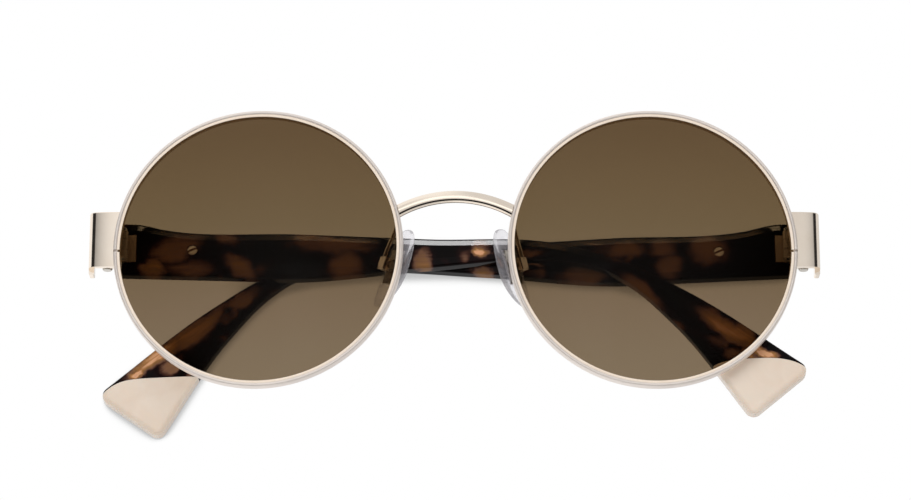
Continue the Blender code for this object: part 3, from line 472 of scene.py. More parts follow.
def ring_cut(reach):
    """A rod that ends a piece where it meets a rim, a hair inside the rim's outer side."""
    return rod(RIM_OUTER - RIM_OVERLAP, (0, 0, -reach), (0, 0, reach), RIM_STEPS)


def tube(path, width, depth, steps, side_axis, swell=lambda t: 1):
    """An oval bar along a path: its width lies across side_axis, its depth along it."""
    rings = []
    for k, point in enumerate(path):
        before, after = path[max(k - 1, 0)], path[min(k + 1, len(path) - 1)]
        tangent = (after - before).normalized()
        along = (side_axis - tangent * side_axis.dot(tangent)).normalized()
        across = tangent.cross(along)
        size = swell(k / (len(path) - 1))
        rings.append([point + across * (width / 2 * size * cos(a))
                      + along * (depth / 2 * size * sin(a)) for a in around(steps)])
    return skinned(rings)


def smooth_path(points, steps):
    """A smooth curve through the points, which keeps the first and the last."""
    points = [Vector(p) for p in points]
    gaps = [(b - a).length for a, b in zip(points, points[1:])]
    slopes = [(b - a) / gap for a, b, gap in zip(points, points[1:], gaps)]
    tangents = slopes[:1]
    for before, after, one, two in zip(slopes, slopes[1:], gaps, gaps[1:]):
        tangents.append((before * two + after * one) / (one + two))
    tangents.append(slopes[-1])
    out = []
    for i, gap in enumerate(gaps):
        for k in range(steps):
            t = k / steps
            out.append(points[i] * (2 * t ** 3 - 3 * t ** 2 + 1)
                       + tangents[i] * gap * (t ** 3 - 2 * t ** 2 + t)
                       + points[i + 1] * (3 * t ** 2 - 2 * t ** 3)
                       + tangents[i + 1] * gap * (t ** 3 - t ** 2))
    return out + [points[-1]]


def arc(centre, radius, start, end, steps):
    """Points along an arc in the plane, angles in radians."""
    return [(centre[0] + radius * cos(start + (end - start) * k / steps),
             centre[1] + radius * sin(start + (end - start) * k / steps))
            for k in range(steps + 1)]


def rounded_corner(before, corner, after, radius, steps=10):
    """Points that round one corner of an outline."""
    corner = Vector(corner)
    one = (Vector(before) - corner).normalized()
    two = (Vector(after) - corner).normalized()
    half = one.angle(two) / 2
    centre = corner + (one + two).normalized() * (radius / sin(half))
    start = corner + one * (radius / tan(half)) - centre
    sweep = copysign(pi - 2 * half, one.x * two.y - one.y * two.x)
    return [tuple(centre + Matrix.Rotation(-sweep * k / steps, 2) @ start)
            for k in range(steps + 1)]


# Pieces

def add(name, data):
    """A new object in the scene."""
    item = bpy.data.objects.new(name, data)
    bpy.context.collection.objects.link(item)
    return item


def mesh_of(shape, place, side):
    """A shape's mesh, mirrored for the wearer's right and put in place."""
    if side < 0:
        bmesh.ops.scale(shape, vec=(-1, 1, 1), verts=shape.verts)
    moved(shape, place)
    bmesh.ops.recalc_face_normals(shape, faces=shape.faces)
    mesh = bpy.data.meshes.new("shape")
    shape.to_mesh(mesh)
    shape.free()
    return mesh


def carve(item, changes):
    """Cut shapes out of a piece, or do what else a change names in its last place."""
    helpers = []
    for shape, place, side, *named in changes:
        helper = add("helper", mesh_of(shape, place, side))
        change = item.modifiers.new("carve", "BOOLEAN")
        change.operation = named[0] if named else "DIFFERENCE"
        change.solver = "EXACT"
        change.object = helper
        helpers.append(helper)
    graph = bpy.context.evaluated_depsgraph_get()
    mesh = bpy.data.meshes.new_from_object(item.evaluated_get(graph))
    item.modifiers.clear()
    item.data = mesh
    for helper in helpers:
        bpy.data.objects.remove(helper, do_unlink=True)


def piece(name, node, shape, place, side, body, paints, changes=()):
    """One finished piece of a side that stands for a CAD node and rides on its body."""
    name += TAGS[side]
    node += TAGS[side]
    item = add(name, mesh_of(shape, place, side))
    for paint in paints:
        item.data.materials.append(PAINTS[paint])
    if changes:
        carve(item, changes)
    item.data.name = name
    item.data.shade_smooth()
    item.data.set_sharp_from_angle(angle=SHARP_ANGLE)
    even = item.modifiers.new("even_shading", "WEIGHTED_NORMAL")
    even.keep_sharp = True
    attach(item, body)
    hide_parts(node)
    return item


# Materials

def connect(made, **inputs):
    """Give a node's inputs values or links, by name, or by number as i0, i1 and so on."""
    for key, value in inputs.items():
        numbered = key[0] == "i" and key[1:].isdigit()
        socket = made.inputs[int(key[1:]) if numbered else key.replace("_", " ")]
        if isinstance(value, bpy.types.NodeSocket):
            made.id_data.links.new(value, socket)
        else:
            socket.default_value = value


def node(tree, kind, settings=None, **inputs):
    """One shader node. An input is a value or another node's output."""
    made = tree.nodes.new(kind)
    for key, value in (settings or {}).items():
        setattr(made, key, value)
    connect(made, **inputs)
    return made


def output(tree, kind, settings=None, **inputs):
    """The first output of a new node."""
    return node(tree, kind, settings, **inputs).outputs[0]


def maths(operation, *values):
    """One step of arithmetic on values or outputs."""
    inputs = {f"i{k}": value for k, value in enumerate(values)}
    return output(values[0].id_data, "ShaderNodeMath", {"operation": operation}, **inputs)


def folded(operation, values):
    """The same step of arithmetic over a whole list."""
    total = values[0]
    for value in values[1:]:
        total = maths(operation, total, value)
    return total


def between(amount, one, two):
    """A number on the way from one to two."""
    return output(amount.id_data, "ShaderNodeMix", {"data_type": "FLOAT"}, i0=amount, i2=one, i3=two)


def layered(amount, one, two):
    """Two shaders mixed by an amount."""
    return output(amount.id_data, "ShaderNodeMixShader", i0=amount, i1=one, i2=two)


def new_paint(name, colour, roughness, metallic=0.0):
    """A material with its principled shader's plain values set."""
    paint = bpy.data.materials.new(name)
    paint.use_nodes = True
    shader = paint.node_tree.nodes["Principled BSDF"]
    connect(shader, Base_Color=(*colour, 1.0), Metallic=metallic, Roughness=roughness)
    return paint, paint.node_tree, shader


def object_place(tree):
    """The piece's own coordinates, in metres."""
    return node(tree, "ShaderNodeTexCoord").outputs["Object"]


def object_points(tree, scale=(1, 1, 1)):
    """The piece's own coordinates, stretched by scale."""
    return output(tree, "ShaderNodeMapping", Vector=object_place(tree), Scale=scale)


def noise(points, scale, detail=3.0, roughness=0.5, distortion=0.0, seed=0.0, coloured=False):
    """A soft random pattern between 0 and 1, or three of them as a colour."""
    made = node(points.id_data, "ShaderNodeTexNoise", {"noise_dimensions": "4D"}, Vector=points,
                W=seed, Scale=scale, Detail=detail, Roughness=roughness, Distortion=distortion)
    return made.outputs["Color" if coloured else 0]


def spread(value, low, high, to_low=0.0, to_high=1.0, kind="LINEAR"):
    """A value moved from one range to another."""
    return output(value.id_data, "ShaderNodeMapRange", {"interpolation_type": kind},
                  Value=value, From_Min=low, From_Max=high, To_Min=to_low, To_Max=to_high)


def fade(value, start, end, to_start=0.0, to_end=1.0):
    """A value moved from one range to another, with soft ends."""
    return spread(value, start, end, to_start, to_end, "SMOOTHSTEP")


def ramp(value, stops):
    """A colour looked up along stops of position and colour."""
    made = node(value.id_data, "ShaderNodeValToRGB", i0=value)
    band = made.color_ramp
    while len(band.elements) < len(stops):
        band.elements.new(1.0)
    for element, (place, colour) in zip(band.elements, stops):
        element.position = place
        element.color = (*colour, 1.0)
    return made.outputs[0]


def bump(height, strength, distance):
    """A small relief for a shader's normal."""
    return output(height.id_data, "ShaderNodeBump", Strength=strength, Distance=distance, Height=height)


def metal_paint(name, light, dark, rough_low, rough_high, metallic=1.0, grain=(1, 1, 1),
                relief=0.02):
    """Metal with faint clouds in its colour and shine, and a fine grain."""
    paint, tree, shader = new_paint(name, light, rough_low, metallic)
    clouds = noise(object_points(tree), 260.0, 4.0)
    fine = noise(object_points(tree, grain), 2600.0, seed=2.0)
    rough = maths("ADD", spread(clouds, 0.35, 0.7, rough_low, rough_high),
                  spread(fine, 0.3, 0.75, -0.03, 0.04))
    connect(shader, Base_Color=ramp(clouds, [(0.3, dark), (0.62, light)]),
            Roughness=rough, Normal=bump(fine, relief, 0.02 * MM))
    return paint


def lacquer_paint():
    """Cream enamel with a soft gloss."""
    paint, tree, shader = new_paint("rim_ledge_lacquer", (0.88, 0.77, 0.66), 0.3)
    points = object_points(tree)
    tone = ramp(noise(points, 300.0), [(0.3, (0.88, 0.74, 0.6)), (0.7, (0.94, 0.81, 0.68))])
    rough = spread(noise(points, 2200.0), 0.3, 0.7, 0.22, 0.36)
    connect(shader, Base_Color=tone, Roughness=rough, Coat_Weight=0.3, Coat_Roughness=0.1)
    return paint


def slant_gloss(tree):
    """Share of light that a lens mirrors, more at a slant, the same inside and out."""
    slant = node(tree, "ShaderNodeLayerWeight", Blend=0.5).outputs["Facing"]
    return maths("MULTIPLY_ADD", maths("POWER", slant, 5.0), 1 - LENS_GLOSS, LENS_GLOSS)


def lens_paint(side):
    """Brown tinted lens, darker at the top, with a faint shine."""
    paint = bpy.data.materials.new("lens_tint" + TAGS[side])
    paint.use_nodes = True
    tree = paint.node_tree
    tree.nodes.clear()
    height = node(tree, "ShaderNodeSeparateXYZ", Vector=object_place(tree)).outputs[1]
    centre = lens_place(side).translation.y
    level = spread(height, centre - LENS_RADIUS, centre + LENS_RADIUS)
    clear = output(tree, "ShaderNodeBsdfTransparent", Color=ramp(level, LENS_STOPS))
    shine = output(tree, "ShaderNodeBsdfGlossy", Color=WHITE, Roughness=0.03)
    node(tree, "ShaderNodeOutputMaterial", Surface=layered(slant_gloss(tree), clear, shine))
    return paint


def streaked_points(tree, side):
    """Coordinates stretched along the temple, on its straight part and on its bent part."""
    place = object_place(tree)
    x = output(tree, "ShaderNodeSeparateXYZ", Vector=place)
    straight = output(tree, "ShaderNodeMapping", Vector=place, Scale=(STREAK_SQUEEZE, 1.0, 1.0))
    bent = output(tree, "ShaderNodeMapping", {"vector_type": "TEXTURE"}, Vector=place,
                  Rotation=(0, 0, side * STREAK_TURN), Scale=(1 / STREAK_SQUEEZE, 1.0, 1.0))
    start, end = STREAK_BEND
    amount = fade(x, -side * start, -side * end)
    return node(tree, "ShaderNodeMix", {"data_type": "VECTOR"}, i0=amount, i4=straight,
                i5=bent).outputs[1]


def patch_value(tree, points, patches):
    """The strongest of some soft oval clouds."""
    start, end = PATCH_EDGE
    clouds = []
    for x, y, long, short, turn, strength in patches:
        local = output(tree, "ShaderNodeMapping", {"vector_type": "TEXTURE"}, Vector=points,
                       Location=(x * MM, y * MM, 0), Rotation=(0, 0, radians(turn)),
                       Scale=(long * MM, short * MM, 1.0))
        reach = node(tree, "ShaderNodeVectorMath", {"operation": "LENGTH"}, i0=local).outputs[1]
        clouds.append(fade(reach, start, end, strength, 0.0))
    return folded("MAXIMUM", clouds)


def tortoise_paint(name, side, seed, patches):
    """Dark brown acetate with amber and honey clouds under a clear polish."""
    paint, tree, shader = new_paint(name, (0.02, 0.01, 0.005), 0.1)
    points = object_points(tree)
    wander = noise(points, 230.0, roughness=0.6, seed=seed, coloured=True)
    wander = output(tree, "ShaderNodeVectorMath", {"operation": "MULTIPLY_ADD"}, i0=wander,
                    i1=(2 * PATCH_WANDER, 2 * PATCH_WANDER, 0.0), i2=points)
    wander = output(tree, "ShaderNodeVectorMath", {"operation": "SUBTRACT"}, i0=wander,
                    i1=(PATCH_WANDER, PATCH_WANDER, 0.0))
    placed = patch_value(tree, wander, patches)
    loose = noise(points, 130.0, 2.0, distortion=0.8, seed=seed + 5.0)
    value = maths("MAXIMUM", placed, fade(loose, 0.52, 0.72, 0.0, 0.5))
    streaks = noise(streaked_points(tree, side), 1500.0, 3.0, 0.6, 0.3, seed)
    value = maths("MULTIPLY", value, spread(streaks, 0.35, 0.65, 0.82, 1.06))
    fine = noise(points, 900.0, 2.0, seed=seed)
    connect(shader, Base_Color=ramp(value, TORTOISE_STOPS),
            Roughness=spread(fine, 0.3, 0.8, 0.05, 0.13), Specular_IOR_Level=0.05,
            Subsurface_Weight=0.12, Subsurface_Scale=0.5 * MM, Subsurface_Radius=(1.0, 0.45, 0.15))
    return paint


def cream_paint():
    """Cream acetate with faint milky swirls."""
    paint, tree, shader = new_paint("cream_acetate", (0.74, 0.62, 0.51), 0.2)
    points = object_points(tree)
    swirl = noise(points, 110.0, 4.0, distortion=1.2)
    tone = ramp(swirl, [(0.3, (0.75, 0.61, 0.49)), (0.7, (0.81, 0.69, 0.575))])
    fine = noise(points, 1500.0, 2.0)
    connect(shader, Base_Color=tone, Roughness=spread(fine, 0.3, 0.8, 0.16, 0.26),
            Subsurface_Weight=0.2, Subsurface_Scale=0.8 * MM, Subsurface_Radius=(1.0, 0.7, 0.5),
            Coat_Weight=0.2, Coat_Roughness=0.08)
    return paint


def pad_paint():
    """Clear soft plastic with a cloudy bloom and a wet shine."""
    paint, tree, _ = new_paint("clear_pad", (0.93, 0.92, 0.95), 0.08)
    cloud = noise(object_points(tree), 420.0)
    relief = bump(cloud, 0.3, 0.12 * MM)
    clear = output(tree, "ShaderNodeBsdfTransparent", Color=(0.965, 0.96, 0.97, 1.0))
    milk = output(tree, "ShaderNodeBsdfDiffuse", Color=(0.8, 0.78, 0.83, 1.0), Normal=relief)
    body = layered(spread(cloud, 0.3, 0.7, 0.05, 0.2), clear, milk)
    shine = output(tree, "ShaderNodeBsdfGlossy", Color=WHITE, Roughness=0.08, Normal=relief)
    slant = output(tree, "ShaderNodeFresnel", IOR=1.16, Normal=relief)
    share = maths("MULTIPLY", slant, PAD_GLOSS)
    connect(tree.nodes["Material Output"], Surface=layered(share, body, shine))
    return paint


def insert_paint():
    """Stamped sheet metal with a fine knurl."""
    paint, tree, shader = new_paint("insert_metal", (0.45, 0.42, 0.38), 0.3, 1.0)
    cells = output(tree, "ShaderNodeTexVoronoi", Vector=object_points(tree), Scale=1800.0)
    tone = ramp(cells, [(0.0, (0.3, 0.27, 0.24)), (0.6, (0.62, 0.58, 0.52))])
    connect(shader, Base_Color=tone, Roughness=spread(cells, 0.0, 0.7, 0.22, 0.42),
            Normal=bump(cells, 0.5, 0.15 * MM))
    return paint


# Front

def rim_profile():
    """Rim section, as radius, height and paint: a lacquered ledge inside a metal bead."""
    half = RIM_DEPTH / 2
    groove = LENS_EDGE_THICKNESS / 2
    floor = LENS_RADIUS + GROOVE_CLEARANCE
    ledge = half - LEDGE_DROP
    corner = RIM_CORNER
    back = RIM_BACK_ROUND
    bead_left = RIM_INNER + LEDGE_WIDTH
    middle = (bead_left + RIM_OUTER) / 2
    reach = (RIM_OUTER - bead_left) / 2
    foot = ledge - BEAD_FOOT
    drop = half / 2
    points = [(RIM_INNER, groove, 1), (RIM_INNER, ledge - corner, 1)]
    points += [(r, z, 1) for r, z in arc((RIM_INNER + corner, ledge - corner), corner,
                                         pi, pi / 2, 4)[1:]]
    points += [(bead_left - 0.5 * corner, ledge, 0), (bead_left, foot, 0)]
    points += [(middle + reach * cos(a), foot + (half - foot) * sin(a) ** BEAD_FULLNESS, 0)
               for a in (pi * (1 - k / (2 * BEAD_STEPS)) for k in range(1, BEAD_STEPS + 1))]
    points += [(RIM_OUTER - reach + reach * sin(a), half - drop + drop * cos(a), 0)
               for a in quarter(BEAD_STEPS)[1:]]
    points += [(RIM_OUTER - back + r, -half + back + z, 0)
               for r, z in arc((0, 0), back, 0, -pi / 2, 6)]
    points += [(RIM_INNER + corner + r, -half + 2 * corner + z, 1)
               for r, z in arc((0, 0), corner, -pi / 2, -pi, 4)]
    return points + [(RIM_INNER, -groove, 1), (floor, -GROOVE_FLAT * groove, 1),
                     (floor, GROOVE_FLAT * groove, 1)]


def make_rim(side):
    """A grooved rim, split at its outer side."""
    gap = RIM_SPLIT / RIM_OUTER
    turn = -(SPLIT_DROP / RIM_OUTER)
    profile = rim_profile()
    shape = split_ring([p[:2] for p in profile], RIM_STEPS, gap, turn, [p[2] for p in profile])
    piece("rim_ring", "rim", shape, lens_place(side), side, "front", ["rim_bead", "rim_ledge"])


def dome(radius, sag_radius, steps):
    """Radius and height of a shallow dome's rings, from its edge to its crown."""
    full = sag_radius - sqrt(sag_radius ** 2 - radius ** 2)
    out = []
    for k in range(steps):
        r = radius * (1 - k / steps)
        out.append((r, full - (sag_radius - sqrt(sag_radius ** 2 - r ** 2))))
    return out + [(0, full)]


def make_lens(side):
    """A domed lens with a bevelled edge that sits in the rim's groove."""
    body = LENS_RADIUS - LENS_BEVEL
    half = LENS_EDGE_THICKNESS / 2
    front = [(r, half + z) for r, z in dome(body, LENS_FRONT_RADIUS, DOME_STEPS)]
    crown = front[-1][1] - LENS_CENTRE_THICKNESS
    sag = crown + half
    back_radius = (body ** 2 + sag ** 2) / (2 * sag)
    back = [(r, z - half) for r, z in dome(body, back_radius, DOME_STEPS)]
    bevel = [(LENS_RADIUS, LENS_EDGE_FLAT * half), (LENS_RADIUS, -LENS_EDGE_FLAT * half)]
    shape = turned(front[::-1] + bevel + back, LENS_STEPS)
    item = piece("tinted_lens", "lens", shape, lens_place(side), side, "front", ["lens" + TAGS[side]])
    item.visible_shadow = False
    item.visible_diffuse = False


def make_bridge():
    """An arched bar between the two rims, a little wider where it meets them."""
    end_x = LENS_OFFSET - (RIM_OUTER - BRIDGE_REACH) * cos(BRIDGE_END_ANGLE)
    end_y = (RIM_OUTER - BRIDGE_REACH) * sin(BRIDGE_END_ANGLE)
    end_z = (LENS_OFFSET - end_x) * sin(WRAP_ANGLE)
    radius = (end_x ** 2 + BRIDGE_RISE ** 2) / (2 * BRIDGE_RISE)
    swing = asin(end_x / radius)
    path = []
    for k in range(BRIDGE_STEPS + 1):
        angle = swing * (2 * k / BRIDGE_STEPS - 1)
        y = end_y + BRIDGE_RISE - radius * (1 - cos(angle))
        z = end_z + BRIDGE_FORWARD * cos(angle / swing * pi / 2)
        path.append(Vector((radius * sin(angle), y, z)))
    shape = tube(path, BRIDGE_HEIGHT, BRIDGE_DEPTH, BAR_STEPS, Vector((0, 0, 1)),
                 lambda t: 1 + BRIDGE_SWELL * abs(2 * t - 1) ** BRIDGE_SWELL_POWER)
    changes = [(ring_cut(BRIDGE_CUT_REACH), lens_place(side), 1) for side in (-1, 1)]
    piece("bridge_bar", "bridge", shape, FRONT, 0, "front", ["gold"], changes)


def plate_outline(side):
    """The bent end piece seen from above: distance from the nose, and height of the front."""
    corner_x = CORNER_X + PLATE_SPARE[side]
    inner_end = RIM_REACH - 2 * RIM_WIDTH
    front_z = -PLATE_SETBACK
    centre = (corner_x - CORNER_RADIUS, front_z - PLATE_BOW - CORNER_RADIUS * cos(PLATE_BOW_ANGLE))
    outer = arc(centre, CORNER_RADIUS, pi / 2 - PLATE_BOW_ANGLE, 0, CORNER_STEPS)
    inner = arc(centre, CORNER_RADIUS - PLATE_THICKNESS, 0, pi / 2, INNER_CORNER_STEPS)
    back_z = JOINT_Z - PLATE_SETBACK
    flat = outer[0][0] - inner_end
    bow = [(inner_end + flat * t, front_z - PLATE_BOW * t ** 3)
           for t in (k / BOW_STEPS for k in range(BOW_STEPS))]
    return (bow + outer + [(corner_x, back_z), (corner_x - PLATE_THICKNESS, back_z)] + inner
            + [(inner_end, front_z - PLATE_THICKNESS - PLATE_BOW)])


def make_end_piece(side):
    """A flat strip beside the rim that bends back to carry the hinge, cut square behind."""
    upright = Matrix(((1, 0, 0, 0), (0, 0, 1, 0), (0, 1, 0, 0), (0, 0, 0, 1)))
    shape = moved(slab(plate_outline(side), PLATE_BOTTOM, PLATE_TOP, PLATE_BEVEL, 5), upright)
    rear = box((0, -2 * PLATE_TOP, -PLATE_LENGTH),
               (AXIS_INSET + PLATE_LENGTH, 2 * PLATE_TOP, AXIS_BEHIND_JOINT + JOINT_GAP))
    step = box((LENS_OFFSET, 2 * PLATE_BOTTOM, -PLATE_SETBACK - HOOK_DEPTH),
               (CORNER_X + CORNER_REACH, FACE_BOTTOM, PLATE_SETBACK))
    changes = [(ring_cut(PLATE_CUT_REACH), lens_place(side), 1),
               (rear, hinge_place(side), side), (step, FRONT, side)]
    piece("end_plate", "end_piece", shape, FRONT, side, "front", ["gold"], changes)


# Temples

def adjusted(point, side):
    """A point of the temple after the bend is set: a little later and steeper on one side."""
    if point.x <= WAIST_DISTANCE:
        return point
    if point.x >= BEND_DISTANCE:
        pivot = Vector((BEND_DISTANCE, (WAIST_TOP + WAIST_BOTTOM) / 2))
        point = Matrix.Rotation(-side * BEND_UNEVEN, 2) @ (point - pivot) + pivot
    return point + Vector((side * BEND_UNEVEN_LENGTH, 0))


def temple_edges(side):
    """Upper and lower edge of a temple with its tip, as distance and height."""
    start = -AXIS_BEHIND_JOINT
    upper = [(start, HEAD_TOP), (FLARE_START[0], HEAD_TOP - FLARE_START[1]),
             (FLARE_LENGTH, HEAD_TOP - FLARE_DROP), (BELLY_DISTANCE, BELLY_TOP),
             (MIDDLE_DISTANCE, MIDDLE_TOP)]
    upper += [(WAIST_DISTANCE + length, WAIST_TOP - drop) for length, drop in
              ((0, 0), ELBOW_TOP_MIDDLE, (ELBOW_LENGTH, ELBOW_TOP_DROP),
               (SHOULDER_LENGTH, SHOULDER_DROP), (TIP_TOP_LENGTH, TIP_TOP_DROP))]
    lower = [(start, HEAD_BOTTOM), BELLY_START, (BELLY_DISTANCE, BELLY_BOTTOM),
             (MIDDLE_DISTANCE, MIDDLE_BOTTOM)]
    lower += [(WAIST_DISTANCE + length, WAIST_BOTTOM - drop) for length, drop in
              ((0, 0), ELBOW_BOTTOM_MIDDLE, (ELBOW_LENGTH, ELBOW_BOTTOM_DROP),
               (BULGE_LENGTH, BULGE_DROP), (TIP_BOTTOM_LENGTH, TIP_BOTTOM_DROP))]
    return [smooth_path([adjusted(Vector(p), side) for p in line], CURVE_STEPS)
            for line in (upper, lower)]


def temple_outline(side):
    """The whole outline round the temple, with the tip's two corners rounded."""
    over, under = temple_edges(side)
    over = over[:1] + [p for p in over if p.x > EDGE_CLEAR]
    end_top, end_bottom = over[-1], under[-1]
    tip = (rounded_corner(over[-2], end_top, end_bottom, TIP_CORNER_RADIUS)
           + rounded_corner(end_top, end_bottom, under[-2], TIP_CORNER_RADIUS))
    loop = over[:-1] + tip + under[-2::-1]
    return [(-p[0], p[1]) for p in loop]


def joint_height(distance, side):
    """Height of the bowed line where the tip is glued on, at a distance from the hinge."""
    middle, height, sag, power = TIP_JOINT[side]
    return height - sag * (abs(distance - middle) / TIP_JOINT_SCALE) ** power


def tip_region(side, shift):
    """A block that covers everything beyond the glued line, moved by a small shift."""
    low_x = WAIST_DISTANCE + ELBOW_LENGTH + TIP_REGION_START
    high_x = WAIST_DISTANCE + TIP_TOP_LENGTH + TIP_REGION_SPARE
    steps = 60
    line = [(low_x + (high_x - low_x) * k / steps) for k in range(steps + 1)]
    deep = WAIST_BOTTOM - TIP_BOTTOM_DROP - ELBOW_LENGTH
    outline = [(x, joint_height(x, side) + shift) for x in line] + [(high_x, deep), (low_x, deep)]
    outline = [adjusted(Vector(p), side) for p in outline]
    region = prism([(-p.x, p.y) for p in outline], 2 * OUTER_FACE, 0)
    return moved(region, Matrix.Translation((0, -HINGE_HEIGHT, 0)))


def edge_steps():
    """The bar's edge from its side wall to its face, as inset and depth: a small round, then
    a long shallow bevel."""
    turn = pi / 2 - EDGE_BEVEL_ANGLE
    drop = EDGE_ROUND * sin(turn) + EDGE_BEVEL_WIDTH * tan(EDGE_BEVEL_ANGLE)
    steps = [(EDGE_ROUND * (1 - cos(a)), drop - EDGE_ROUND * sin(a))
             for a in (turn * k / EDGE_STEPS for k in range(EDGE_STEPS + 1))]
    inner, depth = steps[-1]
    return steps + [(inner + EDGE_BEVEL_WIDTH * t, depth * (1 - t)) for t in BEVEL_STOPS]


def tip_steps():
    """The tip's edge from its side wall to its face: one soft oval round."""
    return [(TIP_ROUND_WIDTH * (1 - cos(a)), TIP_ROUND_DEPTH * (1 - sin(a)))
            for a in quarter(TIP_STEPS)]


def temple_blank(side, steps):
    """The temple and its tip as one slab with the given edge, in the hinge's frame."""
    levels = [(inward, OUTER_FACE + depth) for inward, depth in reversed(steps)]
    levels += [(inward, INNER_FACE - depth) for inward, depth in steps]
    inner = steps[-1][0] + FACE_INSET
    levels = [(inner, OUTER_FACE)] + levels + [(inner, INNER_FACE)]
    return stacked(temple_outline(side), levels, HINGE_HEIGHT)


def make_temple(side, body):
    """The tortoise part of a temple, with a pocket for the hinge and a seat for the rivet."""
    place = axis_place(side)
    end = AXIS_BEHIND_JOINT
    notch = box((end - LEAF_LENGTH - PIVOT_GAP, -LEAF_HEIGHT / 2 - PIVOT_GAP,
                 INNER_FACE - LEAF_DEPTH - PIVOT_GAP),
                (end + LEAF_LENGTH, LEAF_HEIGHT / 2 + PIVOT_GAP, INNER_FACE + LEAF_DEPTH))
    seat = rod(RIVET_HEAD_RADIUS + SCREW_GAP,
               (-RIVET_DISTANCE, -RIVET_DROP, INNER_FACE - RIVET_HEAD_DEPTH),
               (-RIVET_DISTANCE, -RIVET_DROP, 0))
    changes = [(tip_region(side, TIP_JOINT_GAP / 2), place, side), (notch, place, side),
               (seat, place, side)]
    piece("temple_bar", "temple", temple_blank(side, edge_steps()), place, side, body,
          ["tortoise" + TAGS[side]], changes)
    changes = [(tip_region(side, -TIP_JOINT_GAP / 2), place, side, "INTERSECT")]
    piece("temple_end", "temple_tip", temple_blank(side, tip_steps()), place, side, body,
          ["cream"], changes)


def make_rivet(side, body):
    """The round slotted head that shows on the temple's inner face, with its pin."""
    place = axis_place(side)
    top = INNER_FACE
    bottom = OUTER_FACE + OUTER_SKIN + SCREW_GAP
    under = top - RIVET_HEAD_DEPTH + SCREW_GAP / 2
    crown = [(RIVET_HEAD_RADIUS * sin(a), top - RIVET_DOME * (1 - cos(a))) for a in quarter(6)]
    profile = crown + [(RIVET_HEAD_RADIUS, under), (RIVET_RADIUS, under),
                       (RIVET_RADIUS, bottom), (0, bottom)]
    shape = turned(profile, ROUND_STEPS)
    spot = Matrix.Translation((side * -RIVET_DISTANCE, -RIVET_DROP, 0))
    reach = RIVET_HEAD_RADIUS + SCREW_GAP
    slot = box((-reach, -RIVET_SLOT_WIDTH / 2, top - RIVET_SLOT_DEPTH),
               (reach, RIVET_SLOT_WIDTH / 2, top + SCREW_GAP))
    slot = moved(slot, Matrix.Rotation(side * RIVET_SLOT_ANGLE, 4, "Z"))
    # The slot's faces take the second paint, a dark brown that is painted shade in the slot
    for face in slot.faces:
        face.material_index = 1
    piece("rivet_head", "temple_rivet", shape, place @ spot, side, body,
          ["rivet", "painted_slot_shade"], [(slot, place @ spot, side)])


# Nose pads

def pad_axes(side):
    """Directions across the pad, up the pad, and towards the nose, for the side at +X."""
    lean = PAD_SPREAD - side * PAD_SPREAD_UNEVEN
    up = Vector((-sin(lean) * cos(PAD_LEAN), cos(lean) * cos(PAD_LEAN), sin(PAD_LEAN)))
    forward = Vector((-sin(PAD_SPLAY), 0, cos(PAD_SPLAY)))
    inward = forward.cross(up).normalized()
    return up.cross(inward), up, inward


def pad_point(side, across, up, inward):
    """A point given in the pad's own directions, in the front's frame for the side at +X."""
    centre = Vector((PAD_MIDDLE - side * PAD_UNEVEN, -PAD_DROP, -PAD_SETBACK))
    a, b, c = pad_axes(side)
    return centre + a * across + b * up + c * inward


def pad_place(side):
    """The frame on the pad's screw axis: X along the screw, Y up the pad."""
    origin = pad_point(side, 0, 0, -PAD_SCREW_OFFSET)
    across, up, inward = pad_axes(side)
    turn = Matrix((across, up, inward)).transposed()
    if side < 0:
        flip = Matrix.Scale(-1, 3, Vector((1, 0, 0)))
        turn = flip @ turn @ flip
        origin = flip @ origin
    return FRONT @ Matrix.Translation(origin) @ turn.to_4x4()


def pad_shell():
    """A pillow whose lower end narrows and sweeps back, set inwards to clear the rim."""
    circle = around(ROUND_STEPS)
    along = 40
    rings = []
    for k in range(1, along):
        height = -cos(pi * k / along)
        width = (1 - abs(height) ** PAD_SQUARENESS) ** (1 / PAD_SQUARENESS)
        low = max(0.0, -height) ** 2
        half = PAD_WIDTH / 2 * width * (1 - PAD_TAPER * low)
        rings.append([(half * cos(a) - PAD_SWEEP * low, PAD_LENGTH / 2 * height,
                       PAD_THICKNESS / 2 * width * sin(a)) for a in circle])
    seat = (0, 0, PAD_SCREW_OFFSET + PAD_RIM_CLEARANCE)
    return moved(skinned(rings), Matrix.Translation(seat))


def make_pad(side, body):
    """The soft pad with a recess for its metal insert."""
    place = pad_place(side)
    half_w = INSERT_WIDTH / 2 + PIVOT_GAP
    half_l = INSERT_LENGTH / 2 + PIVOT_GAP
    floor = PAD_SCREW_OFFSET - INSERT_SINK + PIVOT_GAP
    recess = box((-half_w, -half_l, -PAD_THICKNESS), (half_w, half_l, floor))
    piece("soft_pad", "nose_pad", pad_shell(), place, side, body, ["pad"], [(recess, place, side)])


def arm_path(side):
    """The pad arm's course from the rim's back to the box, in the front's frame."""
    root_r = RIM_INNER + RIM_WIDTH / 2
    local = Vector((-root_r * cos(ARM_ROOT_ANGLE), root_r * sin(ARM_ROOT_ANGLE),
                    -RIM_DEPTH / 2 + SEAT_GAP))
    root = Matrix.Rotation(WRAP_ANGLE, 3, "Y") @ local + Vector((LENS_OFFSET, 0, 0))
    back = Vector((0, 0, -1))
    web = -PAD_SCREW_OFFSET - WEB_FRONT - WEB_THICKNESS / 2
    end = pad_point(side, 0, EAR_HALF_LENGTH / 2, web)
    above = pad_point(side, 0, ARM_BOX_REACH * EAR_HALF_LENGTH, web)
    bend = root + back * (ARM_RADIUS + ARM_STANDOFF + 2 * SEAT_GAP)
    down = bend.lerp(above, ARM_LOW_POINT) + back * ARM_STANDOFF
    return [root, root + back * (ARM_ROOT_LENGTH * ARM_RADIUS + SEAT_GAP),
            bend + (down - bend) * ARM_CURVE_START, down, above, end]


